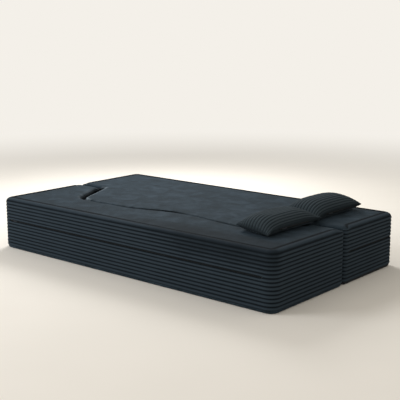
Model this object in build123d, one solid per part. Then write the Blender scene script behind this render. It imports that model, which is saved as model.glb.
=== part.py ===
from build123d import *
import math
import os

os.makedirs("parts", exist_ok=True)

# Folding floor sofa bed, laid out flat as a bed. Millimetres, +Z up, the origin on the floor at the
# middle of the bed's footprint. +X runs along the bed, +Y points at the far block.
# Two foam blocks in ribbed covers lie side by side: the far seat block, whose tongue fills the recess
# of the near back block. The back block lifts on a cloth hinge and turns over onto the seat block.

# Bed laid flat
bed_length = 1895.0
bed_width = 1090.0
block_height = 290.0

# Parting line between the two blocks
seat_root_depth = 495.0
parting_gap = 8.0
fold_clearance = 0.3
outer_corner_radius = 52.0
parting_corner_radius = 22.0

# Arms of the back block, and the recess between them
arm_width = 190.0
arm_inner_radius = 25.0
shoulder_drop = 60.0
shoulder_inset = 5.0
shoulder_radius = 90.0
recess_corner_share = 0.65
recess_corner_radius = 130.0

# Tongue of the seat block
tongue_reach = 322.0
tongue_root_inset = 216.0
tongue_corner_share = 0.615
tongue_root_radius = 15.0
tongue_corner_radius = 90.0
crease_gap = 1.5
crease_radius = 380.0
# Places along the crease, as shares of half the bed's length and of the tongue's reach
crease_shares = [(-0.44, 1.0), (-0.20, 0.97), (0.04, 0.75), (0.22, 0.755), (0.40, 0.84)]
crease_left_share = 0.965
crease_right_share = 0.91

# Ribbed side bands, the mid-height seam and the covers
rib_pitch = 18.5
rib_depth = 4.5
cover_wall = 4.0
panel_wall = 3.0
cover_ease = 0.3
lower_rib_count = 8
upper_rib_count = 6
base_roll_height = 14.5
base_roll_inset = 16.0
edge_roll_inset = 34.0
edge_roll_lead = 1.5
tongue_root_overlap = 60.0
crease_roll_inset = 10.0
crease_roll_bulge = 1.7

# Foam
comfort_layer = 70.0
foam_joint_inset = 347.0

# Zips, which lie at the foot of the mid-height seam
zip_slot_height = 7.0
zip_end_margin = 20.0
zip_clearance = 0.3
tape_thickness = 1.0
coil_height = 4.4
coil_thickness = 2.0
slider_length = 14.0
slider_thickness = 1.4
slider_end_gap = 25.0
lug_length = 3.0
lug_height = 3.0
lug_reach = 3.3
lug_eye_radius = 0.95
lug_eye_reach = 1.9
puller_length = 26.0
puller_arm_length = 6.0
puller_half_height = 2.6
puller_bar_radius = 0.65

# Cloth hinge
hinge_tape_length = 100.0
hinge_tape_thickness = 1.0
hinge_tape_drop = 17.0

# Pillows
pillow_width = 240.0
pillow_length = 410.0
pillow_height = 100.0
pillow_seam_height = 24.0
pillow_edge_half = 2.5
pillow_draw_share = 0.06
pillow_rib_count = 16
pillow_rib_depth = 3.0
pillow_wall = 3.0
pillow_inset = 9.0
pillow_lie_gap = 0.3
pillow_crown_power = 0.45
pillow_end_power = 3.5
pillow_base_share = 1.7
pillow_zip_length = 230.0
pillow_zip_seat = 0.5
near_pillow_end_inset = 275.5
near_pillow_y = -150.0
near_pillow_turn = -2.0
far_pillow_end_inset = 292.5
far_pillow_y = 275.0
far_pillow_turn = -1.0
pillow_station_shares = [-1.0, -0.965, -0.88, -0.7, -0.38, 0.0, 0.38, 0.7, 0.88, 0.965, 1.0]
filling_station_shares = [-1.0, -0.85, -0.45, 0.0, 0.45, 0.85, 1.0]
filling_facet_count = 6
pillow_rib_bow_degrees = 78.0

# How far a cutting solid runs past what it cuts
overrun = 20.0

# Worked out from the sizes above
half_length = bed_length / 2
half_width = bed_width / 2
seat_front_y = half_width - seat_root_depth
back_face_y = seat_front_y - parting_gap
hinge_y = (seat_front_y + back_face_y) / 2
hinge_z = block_height + fold_clearance / 2
skin_inset = rib_depth + cover_wall
foam_inset = skin_inset + cover_ease
mid_seam_z = base_roll_height + lower_rib_count * rib_pitch
top_seam_z = mid_seam_z + upper_rib_count * rib_pitch
top_foam_z = block_height - panel_wall - cover_ease
base_foam_z = panel_wall + cover_ease
layer_z = block_height - comfort_layer
foam_joint_x = half_length - foam_joint_inset
pillow_seam_z = block_height + pillow_lie_gap + pillow_seam_height
zip_tape_height = zip_slot_height - 2 * zip_clearance
slider_base = tape_thickness + coil_thickness + zip_clearance
slider_face = slider_base + slider_thickness
puller_bar_reach = slider_face + lug_eye_reach


def crease_point(along_share, reach_share, side):
    """A point of the crease, on the seat block's side (1) or the back block's side (-1) of its gap."""
    y = hinge_y - reach_share * tongue_reach + side * crease_gap / 2
    return (along_share * half_length, y, crease_radius)


def crease_corner(last_shares, end_reach, along_share, radius, side):
    """A rounded corner past one end of the crease, on the line to the recess's own corner."""
    last_along, last_reach = last_shares
    way = math.copysign(1, last_along)
    end_along, along = way * recess_corner_share, way * along_share
    reach = last_reach + (end_reach - last_reach) * (along - last_along) / (end_along - last_along)
    x, y, _ = crease_point(along, reach, side)
    return (x, y, radius)


def crease_corners(along_share, radius, side):
    """The corners from one end of the crease to the other, left to right."""
    left = crease_corner(crease_shares[0], crease_left_share, along_share, radius, side)
    right = crease_corner(crease_shares[-1], crease_right_share, along_share, radius, side)
    return [left, *(crease_point(*shares, side) for shares in crease_shares), right]


def seat_corners():
    """Corners of the seat block's plan, anticlockwise, each with its radius, the outer two last."""
    root_x = half_length - tongue_root_inset
    return [
        (-half_length, seat_front_y, parting_corner_radius),
        (-root_x, seat_front_y, tongue_root_radius),
        *crease_corners(tongue_corner_share, tongue_corner_radius, 1),
        (root_x, seat_front_y, tongue_root_radius),
        (half_length, seat_front_y, parting_corner_radius),
        (half_length, half_width, outer_corner_radius),
        (-half_length, half_width, outer_corner_radius),
    ]


def back_corners():
    """Corners of the back block's plan, anticlockwise, each with its radius, the outer two last."""
    arm_x = half_length - arm_width
    shoulder_x = arm_x - shoulder_inset
    shoulder_y = back_face_y - shoulder_drop
    return [
        (half_length, back_face_y, parting_corner_radius),
        (arm_x, back_face_y, arm_inner_radius),
        (shoulder_x, shoulder_y, shoulder_radius),
        *reversed(crease_corners(recess_corner_share, recess_corner_radius, -1)),
        (-shoulder_x, shoulder_y, shoulder_radius),
        (-arm_x, back_face_y, arm_inner_radius),
        (-half_length, back_face_y, parting_corner_radius),
        (-half_length, -half_width, outer_corner_radius),
        (half_length, -half_width, outer_corner_radius),
    ]


def outline_runs(corners, inset):
    """Straight and turned runs of an outline drawn in by an inset.

    A straight run is ("line", start, end). A turned one is ("arc", start, middle, end, centre, degrees),
    where the degrees are positive on an outward corner.
    """
    points = [Vector(x, y, 0) for x, y, _ in corners]
    count = len(points)
    ways = [(points[(i + 1) % count] - points[i]).normalized() for i in range(count)]
    bends = []
    for i in range(count):
        before, after = ways[i - 1], ways[i]
        turn = math.atan2(before.cross(after).Z, before.dot(after))
        inward = (after - before).normalized()
        sign = 1 if turn > 0 else -1
        radius = corners[i][2]
        centre = points[i] + inward * (radius / math.cos(turn / 2))
        reach = radius - sign * inset
        start = centre + Vector(before.Y, -before.X, 0) * (sign * reach)
        end = centre + Vector(after.Y, -after.X, 0) * (sign * reach)
        middle = centre - inward * reach
        bends.append((start, middle, end, centre, math.degrees(turn)))
    runs = []
    for i in range(count):
        runs.append(("line", bends[i - 1][2], bends[i][0]))
        runs.append(("arc", *bends[i]))
    return runs


def outline_face(corners, inset, z):
    """The flat face inside an outline, at a height."""
    edges = []
    for run in outline_runs(corners, inset):
        if run[0] == "line":
            edges.append(Edge.make_line(run[1], run[2]))
        else:
            edges.append(Edge.make_three_point_arc(run[1], run[2], run[3]))
    return Face(Wire(edges)).moved(Location((0, 0, z)))


def run_place(run, at_end):
    """Where a section stands at one end of a run: X points out of the outline, Y up."""
    if run[0] == "line":
        point = run[2] if at_end else run[1]
        way = (run[2] - run[1]).normalized()
        outward = Vector(way.Y, -way.X, 0)
    else:
        point = run[3] if at_end else run[1]
        outward = (point - run[4]).normalized() * math.copysign(1, run[5])
    along = Vector(-outward.Y, outward.X, 0)
    return Plane(origin=point, x_dir=outward, z_dir=-along).location


def swept_faces(runs, section):
    """Faces that a section leaves when it is carried along runs.

    The section is a list of edges in X and Y: X is the distance outside the outline, Y the height.
    """
    faces = []
    for run in runs:
        place = run_place(run, False)
        for edge in section:
            placed = edge.moved(place)
            if run[0] == "line":
                faces.append(Face.extrude(placed, run[2] - run[1]))
            else:
                axis = Axis(run[4], (0, 0, math.copysign(1, run[5])))
                faces.append(Face.revolve(placed, abs(run[5]), axis))
    return faces


def edge_chain(*stops):
    """Edges through stops: two numbers go straight there, four pass a middle point on an arc."""
    edges = []
    here = stops[0]
    for stop in stops[1:]:
        if len(stop) == 2:
            edges.append(Edge.make_line(Vector(*here), Vector(*stop)))
            here = stop
        else:
            middle, there = stop[:2], stop[2:]
            edges.append(Edge.make_three_point_arc(Vector(*here), Vector(*middle), Vector(*there)))
            here = there
    return edges


def arc_stop(start, end, bulge):
    """A stop for edge_chain: an arc to the end that bulges to the right of the straight way."""
    way_x, way_y = end[0] - start[0], end[1] - start[1]
    length = math.hypot(way_x, way_y)
    middle_x = (start[0] + end[0]) / 2 + way_y / length * bulge
    middle_y = (start[1] + end[1]) / 2 - way_x / length * bulge
    return (middle_x, middle_y, *end)


def block_solid(corners, stops):
    """A solid whose side follows the stops round the outline, closed flat below and above.

    Each stop is a distance outside the outline, with a minus sign inside it, and a height.
    """
    low_inset, low_z = -stops[0][0], stops[0][1]
    high_inset, high_z = -stops[-1][-2], stops[-1][-1]
    caps = [outline_face(corners, low_inset, low_z), outline_face(corners, high_inset, high_z)]
    return Solid(Shell(swept_faces(outline_runs(corners, 0), edge_chain(*stops)) + caps))


def band_solid(runs, stops):
    """A band along open runs, whose section is closed by the stops."""
    section = edge_chain(*stops)
    end_face = Face(Wire(section))
    caps = [end_face.moved(run_place(runs[0], False)), end_face.moved(run_place(runs[-1], True))]
    return Solid(Shell(swept_faces(runs, section) + caps))


def outer_runs(corners):
    """The three outer sides of a block, from one parting face to the other."""
    runs = outline_runs(corners, 0)
    return runs[-4:] + runs[:1]


def inner_runs(corners):
    """The rest of a block's outline: its parting faces, and its recess or tongue."""
    return outline_runs(corners, 0)[1:-4]


def rib_stops(z, count):
    """Stops up a ribbed face from a height: one bulging arc to each rib, between grooves."""
    stops = []
    for index in range(count):
        low = (-rib_depth, z + index * rib_pitch)
        high = (-rib_depth, z + (index + 1) * rib_pitch)
        stops.append(arc_stop(low, high, rib_depth))
    return stops


def ribbed_band(corners, z, count):
    """A cover's ribbed band round the three outer sides, from a height upward."""
    top = z + count * rib_pitch
    inner = -skin_inset
    ribs = rib_stops(z, count)
    return band_solid(outer_runs(corners), [(inner, z), (-rib_depth, z), *ribs, (inner, top), (inner, z)])


def plain_band(corners):
    """A cover's plain band along the faces that the other block hides."""
    low, high = base_roll_height, top_seam_z
    inner = -skin_inset
    stops = [(inner, low), (0, low), (0, high), (inner, high), (inner, low)]
    return band_solid(inner_runs(corners), stops)


def roll_section(low, high, inset, seam_z, top):
    """A face under two rolled edges: across from low to high, from below the floor up to the top.

    The rolls begin a little below the seam, so that no edge of theirs lies on the seam's own line.
    """
    foot_z = seam_z - edge_roll_lead
    rise = top - foot_z
    radius = (edge_roll_inset ** 2 + rise ** 2) / (2 * rise)
    half_roll = edge_roll_inset / 2
    middle_z = top - radius + math.sqrt(radius ** 2 - half_roll ** 2)
    left, right = low + inset, high - inset
    edges = edge_chain(
        (left, -overrun),
        (left, foot_z),
        (left + half_roll, middle_z, left + edge_roll_inset, top),
        (right - edge_roll_inset, top),
        (right - half_roll, middle_z, right, foot_z),
        (right, -overrun),
        (left, -overrun),
    )
    return Face(Wire(edges))


def rolled_space(low_y, high_y, inset, seam_z, top):
    """The space under the rolled outer edges of a block that spans the bed's length."""
    lengthways = Plane(origin=(-half_length, 0, 0), x_dir=(0, 1, 0), z_dir=(1, 0, 0))
    sideways = Plane(origin=(0, high_y, 0), x_dir=(1, 0, 0), z_dir=(0, -1, 0))
    side_face = roll_section(low_y, high_y, inset, seam_z, top).moved(lengthways.location)
    end_face = roll_section(-half_length, half_length, inset, seam_z, top).moved(sideways.location)
    along = Solid.extrude(side_face, Vector(bed_length, 0, 0))
    across = Solid.extrude(end_face, Vector(0, low_y - high_y, 0))
    return along.intersect(across).solid()


def seat_space(inset, seam_z, top):
    """What the seat block may fill: its rolled root, and its tongue up to the crease."""
    root = rolled_space(seat_front_y, half_width, inset, seam_z, top)
    tongue_width = 2 * (half_length - tongue_root_inset)
    tongue_depth = tongue_reach + parting_gap + tongue_root_overlap
    tongue = Box(tongue_width, tongue_depth, top + overrun, align=(Align.CENTER, Align.MAX, Align.MAX))
    return root.fuse(tongue.moved(Location((0, seat_front_y + tongue_root_overlap, top))).solid())


def back_space(inset, seam_z, top):
    """What the back block may fill, with all four of its outer edges rolled."""
    return rolled_space(-half_width, back_face_y, inset, seam_z, top)


def upper_form(corners, space, inset, low_z, seam_z, top):
    """The top of a block at an inset: softly edged along the crease, rolled along its outer edges."""
    edge = (-inset, seam_z)
    roll = arc_stop(edge, (-inset - crease_roll_inset, top), crease_roll_bulge)
    stops = [edge, roll] if low_z == seam_z else [(-inset, low_z), edge, roll]
    return block_solid(corners, stops).intersect(space(inset, seam_z, top)).solid()


def top_panel(corners, space):
    """The smooth plush panel that rolls down into the ribbed band."""
    outer = upper_form(corners, space, rib_depth, top_seam_z, top_seam_z, block_height)
    inner = upper_form(corners, space, skin_inset, top_seam_z, top_seam_z, block_height - panel_wall)
    return outer.cut(inner)


def base_panel(corners):
    """The panel under a block, a shallow pan with a rolled rim."""
    foot = (-base_roll_inset, 0)
    rim = arc_stop(foot, (-rib_depth, base_roll_height), cover_wall)
    inner_foot = (-base_roll_inset - panel_wall, panel_wall)
    inner_rim = arc_stop(inner_foot, (-skin_inset, base_roll_height), cover_wall)
    return block_solid(corners, [foot, rim]).cut(block_solid(corners, [inner_foot, inner_rim]))


def support_form(corners):
    """The firm lower foam of a block, in one piece."""
    foot = (-base_roll_inset - panel_wall - cover_ease, base_foam_z)
    shoulder = (-foam_inset, base_roll_height + cover_ease)
    return block_solid(corners, [foot, shoulder, (-foam_inset, layer_z)])


def comfort_form(corners, space):
    """The soft upper foam of a block, in one piece."""
    return upper_form(corners, space, foam_inset, layer_z, top_seam_z - cover_ease, top_foam_z)


def cutting_box(low, high):
    """A box between two opposite corners."""
    size = [high[i] - low[i] for i in range(3)]
    middle = [(high[i] + low[i]) / 2 for i in range(3)]
    return Box(*size).moved(Location(middle)).solid()


def kept(form, low_x, high_x, low_y, high_y):
    """The part of a form between two planes each way."""
    box = cutting_box((low_x, low_y, -overrun), (high_x, high_y, block_height + overrun))
    return form.intersect(box).solid()


def seam_strip(corners, height, inner, outer):
    """A flat strip round the outer sides at the mid-height seam, between two insets."""
    low, high = mid_seam_z - height / 2, mid_seam_z + height / 2
    stops = [(-inner, low), (-outer, low), (-outer, high), (-inner, high), (-inner, low)]
    return band_solid(outer_runs(corners), stops)


def seat_zip_reach():
    """The box that holds the seat block's zip: both ends and the whole far side."""
    low_y = seat_front_y + parting_corner_radius + zip_end_margin
    edge_x, edge_y = half_length + overrun, half_width + overrun
    return cutting_box((-edge_x, low_y, 0), (edge_x, edge_y, block_height))


def back_zip_reach():
    """The box that holds the back block's zip: the straight run of its long outer side."""
    reach_x = half_length - outer_corner_radius - zip_end_margin
    high_y = overrun - half_width
    return cutting_box((-reach_x, -half_width - overrun, 0), (reach_x, high_y, block_height))


def zip_tape(corners, reach):
    """The woven tape at the back of a zip's slot."""
    strip = seam_strip(corners, zip_tape_height, skin_inset, skin_inset - tape_thickness)
    return strip.intersect(reach).solid()


def zip_coil(corners, reach):
    """The closed coil on the tape."""
    back = skin_inset - tape_thickness
    return seam_strip(corners, coil_height, back, back - coil_thickness).intersect(reach).solid()


def slotted(band, corners, reach):
    """A band with its share of the zip's slot cut away."""
    slot = seam_strip(corners, zip_slot_height, skin_inset + rib_depth, -rib_depth).intersect(reach).solid()
    return band.cut(slot).solid()


def zip_slider(place):
    """A zip's slider. In its own frame X runs along the zip, and Z points out of it from the tape's back."""
    half_long, half_high = slider_length / 2, zip_tape_height / 2
    plate = cutting_box((-half_long, -half_high, slider_base), (half_long, half_high, slider_face))
    half_long, half_high = lug_length / 2, lug_height / 2
    top = slider_face + lug_reach
    lug = cutting_box((-half_long, -half_high, slider_base), (half_long, half_high, top))
    eye = Cylinder(lug_eye_radius, lug_height + overrun, rotation=(90, 0, 0)).solid()
    return plate.fuse(lug).cut(eye.moved(Location((0, 0, puller_bar_reach)))).solid().moved(place)


def zip_puller(place):
    """A slider's puller, in the slider's frame: a bar through the lug, two arms and a flat tab."""
    bar = Cylinder(puller_bar_radius, 2 * puller_half_height, rotation=(90, 0, 0)).solid()
    low, high = -puller_bar_radius, puller_bar_radius
    plate = cutting_box((0, -puller_half_height, low), (puller_length, puller_half_height, high))
    gap_height = lug_height / 2 + zip_clearance
    gap = cutting_box((-overrun, -gap_height, low), (puller_arm_length, gap_height, high))
    return plate.cut(gap).fuse(bar).solid().moved(place * Location((0, 0, puller_bar_reach)))


def hinge_tape(side):
    """The cloth hinge at one end of the parting line: a slack loop between the two blocks."""
    outer = (parting_gap - 2 * fold_clearance) / 2
    inner = outer - hinge_tape_thickness
    low = top_seam_z - hinge_tape_drop
    edges = edge_chain(
        (-outer, top_seam_z),
        (-outer, low),
        (0, low - outer, outer, low),
        (outer, top_seam_z),
        (inner, top_seam_z),
        (inner, low),
        (0, low - inner, -inner, low),
        (-inner, top_seam_z),
        (-outer, top_seam_z),
    )
    start_x = side * (half_length - arm_width / 2) - hinge_tape_length / 2
    place = Plane(origin=(start_x, hinge_y, 0), x_dir=(0, 1, 0), z_dir=(1, 0, 0)).location
    return Solid.extrude(Face(Wire(edges)).moved(place), Vector(hinge_tape_length, 0, 0))


def pillow_half_width(width, along_share):
    """Half of a pillow's width at a share of its length, drawn in towards the middle."""
    return width / 2 * (1 - pillow_draw_share * (1 - along_share ** 2))


def facet_places(count):
    """Shares across a pillow where its ribs or facets meet, closer together towards its edges."""
    bow = math.radians(pillow_rib_bow_degrees)
    turns = [2 * index / count - 1 for index in range(count + 1)]
    return [math.sin(turn * bow) / math.sin(bow) for turn in turns]


def pillow_rise(height, base_share, across_share, along_share):
    """How far a pillow's face stands from its seam plane at a place."""
    blunt_end = 1 - abs(along_share) ** pillow_end_power
    crown = ((1 - across_share ** 2) * blunt_end) ** pillow_crown_power
    return pillow_edge_half + (height - pillow_edge_half) * min(1, crown * base_share)


def pillow_section(along_share, width, length, height, base_share, count, ribs):
    """An upright section across one half of a pillow, closed along the seam plane."""
    half = pillow_half_width(width, along_share)
    y = along_share * length / 2
    places = facet_places(count)
    rises = [pillow_rise(height, base_share, place, along_share) for place in places]
    nodes = [Vector(half * place, y, rise) for place, rise in zip(places, rises)]
    low_left, low_right = Vector(-half, y, 0), Vector(half, y, 0)
    edges = [Edge.make_line(low_left, nodes[0])]
    for index in range(count):
        start, end = nodes[index], nodes[index + 1]
        bulge = ribs * (start.Z + end.Z) / (2 * height)
        if bulge:
            middle_share = (places[index] + places[index + 1]) / 2
            rise = pillow_rise(height, base_share, middle_share, along_share) + bulge
            middle = Vector(half * middle_share, y, rise)
            edges.append(Edge.make_three_point_arc(start, middle, end))
        else:
            edges.append(Edge.make_line(start, end))
    edges.append(Edge.make_line(nodes[-1], low_right))
    edges.append(Edge.make_line(low_right, low_left))
    return Wire(edges)


def pillow_skin(height, base_share, ribs):
    """The outer form of one half of a pillow, standing on its seam plane."""
    sections = [
        pillow_section(share, pillow_width, pillow_length, height, base_share, pillow_rib_count, ribs)
        for share in pillow_station_shares
    ]
    return Solid.make_loft(sections, ruled=True)


def pillow_core(ease, height, base_share):
    """One half of a pillow's filling, or with an ease the hollow that holds it."""
    width, length = pillow_width - 2 * (pillow_inset - ease), pillow_length - 2 * (pillow_inset - ease)
    rise = height - pillow_wall - cover_ease + ease
    sections = [
        pillow_section(share, width, length, rise, base_share, filling_facet_count, 0)
        for share in filling_station_shares
    ]
    return Solid.make_loft(sections, ruled=True)


def pillow_zip(seat_x):
    """A pillow's zip along its long edge: tape, coil, slider and puller."""
    half_zip, half_tape, half_coil = pillow_zip_length / 2, zip_tape_height / 2, coil_height / 2
    place = Plane(origin=(seat_x, 0, 0), x_dir=(0, 1, 0), z_dir=(1, 0, 0)).location
    tape = cutting_box((-half_zip, -half_tape, 0), (half_zip, half_tape, tape_thickness))
    coil_top = tape_thickness + coil_thickness
    coil = cutting_box((-half_zip, -half_coil, tape_thickness), (half_zip, half_coil, coil_top))
    slider_place = place * Location((slider_end_gap - half_zip, 0, 0))
    return {
        "zip_tape": tape.moved(place),
        "zip_coil": coil.moved(place),
        "zip_slider": zip_slider(slider_place),
        "zip_puller": zip_puller(slider_place),
    }


def pillow_pieces():
    """A pillow about the middle of its seam plane: its filling, its panels and its zip."""
    crown_height = pillow_height - pillow_seam_height
    halves = ((crown_height, 1, pillow_rib_depth), (pillow_seam_height, pillow_base_share, 0))
    skins = [pillow_skin(height, base_share, ribs) for height, base_share, ribs in halves]
    hollows = [pillow_core(cover_ease, height, base_share) for height, base_share, _ in halves]
    cores = [pillow_core(0, height, base_share) for height, base_share, _ in halves]
    seat_x = pillow_half_width(pillow_width, 0) - pillow_zip_seat
    half_zip = pillow_zip_length / 2
    seat = cutting_box((seat_x, -half_zip, -pillow_height), (pillow_width, half_zip, pillow_height))
    upper, lower = [skin.cut(hollow).cut(seat).solid() for skin, hollow in zip(skins, hollows)]
    return {
        "filling": cores[0].fuse(cores[1].mirror(Plane.XY)).solid(),
        "top_panel": upper,
        "bottom_panel": lower.mirror(Plane.XY),
        **pillow_zip(seat_x),
    }


def cover_pieces(name, inner_name, corners, space, reach):
    """The cover of one block: two panels, two ribbed bands, a plain one, and the zip between the ribs."""
    lower_band = ribbed_band(corners, base_roll_height, lower_rib_count)
    upper_band = ribbed_band(corners, mid_seam_z, upper_rib_count)
    return {
        f"{name}_top_panel": top_panel(corners, space),
        f"{name}_upper_band": slotted(upper_band, corners, reach),
        f"{name}_lower_band": slotted(lower_band, corners, reach),
        f"{name}_{inner_name}_band": plain_band(corners),
        f"{name}_base_panel": base_panel(corners),
        f"{name}_zip_tape": zip_tape(corners, reach),
        f"{name}_zip_coil": zip_coil(corners, reach),
    }


def zip_ends(name, place):
    """The slider of one block's zip and its puller."""
    return {f"{name}_zip_slider": zip_slider(place), f"{name}_zip_puller": zip_puller(place)}


def seat_block():
    """The far block: foam root and tongue, a soft layer, its cover and the zip's slider."""
    corners = seat_corners()
    edge_x, edge_y = half_length + overrun, half_width + overrun
    support = support_form(corners)
    root_y = seat_front_y + foam_inset
    slider_x = half_length - outer_corner_radius - slider_end_gap
    slider_from = (slider_x, half_width - skin_inset, mid_seam_z)
    place = Plane(origin=slider_from, x_dir=(-1, 0, 0), z_dir=(0, 1, 0)).location
    return {
        "seat_root_foam": kept(support, -edge_x, edge_x, root_y, edge_y),
        "seat_tongue_foam": kept(support, -edge_x, edge_x, -edge_y, root_y),
        "seat_comfort_foam": comfort_form(corners, seat_space),
        **cover_pieces("seat", "tongue", corners, seat_space, seat_zip_reach()),
        **zip_ends("seat", place),
    }


def back_block():
    """The near block: foam in three across, its cover and the zip's slider."""
    corners = back_corners()
    edge_y = half_width + overrun
    pieces = {}
    for layer, form in (("foam", support_form(corners)), ("comfort_foam", comfort_form(corners, back_space))):
        spans = {
            "left_arm": (-half_length - overrun, -foam_joint_x),
            "centre": (-foam_joint_x, foam_joint_x),
            "right_arm": (foam_joint_x, half_length + overrun),
        }
        for part, (low_x, high_x) in spans.items():
            pieces[f"back_{part}_{layer}"] = kept(form, low_x, high_x, -edge_y, edge_y)
    slider_x = outer_corner_radius + zip_end_margin + slider_end_gap - half_length
    slider_from = (slider_x, skin_inset - half_width, mid_seam_z)
    place = Plane(origin=slider_from, x_dir=(1, 0, 0), z_dir=(0, -1, 0)).location
    pieces.update(cover_pieces("back", "recess", corners, back_space, back_zip_reach()))
    pieces.update(zip_ends("back", place))
    return pieces


def pillows():
    """The two pillows, each turned a little, lying on the flat bed."""
    spots = {
        "near": (half_length - near_pillow_end_inset, near_pillow_y, near_pillow_turn),
        "far": (half_length - far_pillow_end_inset, far_pillow_y, far_pillow_turn),
    }
    made = pillow_pieces()
    pieces = {}
    for side, (x, y, turn) in spots.items():
        place = Location((x, y, pillow_seam_z), (0, 0, turn))
        for label, shape in made.items():
            pieces[f"{side}_pillow_{label}"] = shape.moved(place)
    return pieces


def main():
    """Makes every piece and writes it under its own name."""
    pieces = {**seat_block(), **back_block(), **pillows()}
    pieces["left_hinge_tape"] = hinge_tape(-1)
    pieces["right_hinge_tape"] = hinge_tape(1)
    for name, shape in pieces.items():
        export_step(shape, f"parts/{name}.step")


main()
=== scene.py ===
import contextlib
import enum
import logging
import math
from collections.abc import Callable, Iterator, Sequence
from dataclasses import dataclass

import bmesh
import bpy
import numpy as np
from mathutils import Matrix, Vector, noise


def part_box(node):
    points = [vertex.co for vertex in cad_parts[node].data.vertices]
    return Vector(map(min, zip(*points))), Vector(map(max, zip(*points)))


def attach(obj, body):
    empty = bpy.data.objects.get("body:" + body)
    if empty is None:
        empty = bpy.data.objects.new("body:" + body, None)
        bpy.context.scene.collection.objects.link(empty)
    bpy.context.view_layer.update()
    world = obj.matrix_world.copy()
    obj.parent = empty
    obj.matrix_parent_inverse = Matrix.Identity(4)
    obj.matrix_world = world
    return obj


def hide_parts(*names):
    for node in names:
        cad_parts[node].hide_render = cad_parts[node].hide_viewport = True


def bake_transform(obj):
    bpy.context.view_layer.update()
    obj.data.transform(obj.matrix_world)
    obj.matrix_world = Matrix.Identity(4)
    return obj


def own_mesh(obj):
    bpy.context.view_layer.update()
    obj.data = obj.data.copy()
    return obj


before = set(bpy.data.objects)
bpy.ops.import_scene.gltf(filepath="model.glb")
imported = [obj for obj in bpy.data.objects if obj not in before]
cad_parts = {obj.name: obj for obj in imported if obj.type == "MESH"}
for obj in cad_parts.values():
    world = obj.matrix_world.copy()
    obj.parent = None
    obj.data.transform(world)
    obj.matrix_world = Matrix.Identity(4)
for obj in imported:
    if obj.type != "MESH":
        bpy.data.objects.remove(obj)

# Folding floor sofa bed, laid out flat. Metres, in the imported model's frame: +X runs along the bed, +Y
# points at the far seat block, +Z is up, and the floor is at zero.

log = logging.getLogger("sofa_bed")

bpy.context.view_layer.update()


# Colours and nodes

def srgb(hex_colour: str) -> tuple[float, float, float, float]:
    """Turn an sRGB hex colour into the linear colour that shaders take.

    Args:
        hex_colour: six hex digits after a hash.

    Returns:
        Linear red, green and blue, and an alpha of one.
    """
    parts = [int(hex_colour[i:i + 2], 16) / 255 for i in (1, 3, 5)]
    linear = [c / 12.92 if c <= 0.04045 else ((c + 0.055) / 1.055) ** 2.4 for c in parts]
    return (*linear, 1.0)


def assign(thing: object, values: dict) -> None:
    """Set several attributes of one thing."""
    for key, value in values.items():
        setattr(thing, key, value)


def set_inputs(tree: bpy.types.NodeTree, node: bpy.types.Node, inputs: dict) -> None:
    """Give a node's inputs their values or links.

    Args:
        tree: the node tree.
        node: one of its nodes.
        inputs: the node's sockets by name or index, each given a value or the socket it is linked from.
    """
    for key, value in inputs.items():
        if isinstance(value, bpy.types.NodeSocket):
            tree.links.new(value, node.inputs[key])
        else:
            node.inputs[key].default_value = value


def add_node(tree: bpy.types.NodeTree, kind: str, settings: dict | None = None,
             inputs: dict | None = None) -> bpy.types.Node:
    """Add a node to a tree with its settings, values and links.

    Args:
        tree: the node tree.
        kind: the node's Blender type.
        settings: attributes to set on the node.
        inputs: its sockets' values and links.

    Returns:
        The new node.
    """
    node = tree.nodes.new(kind)
    assign(node, settings or {})
    set_inputs(tree, node, inputs or {})
    return node


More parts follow.
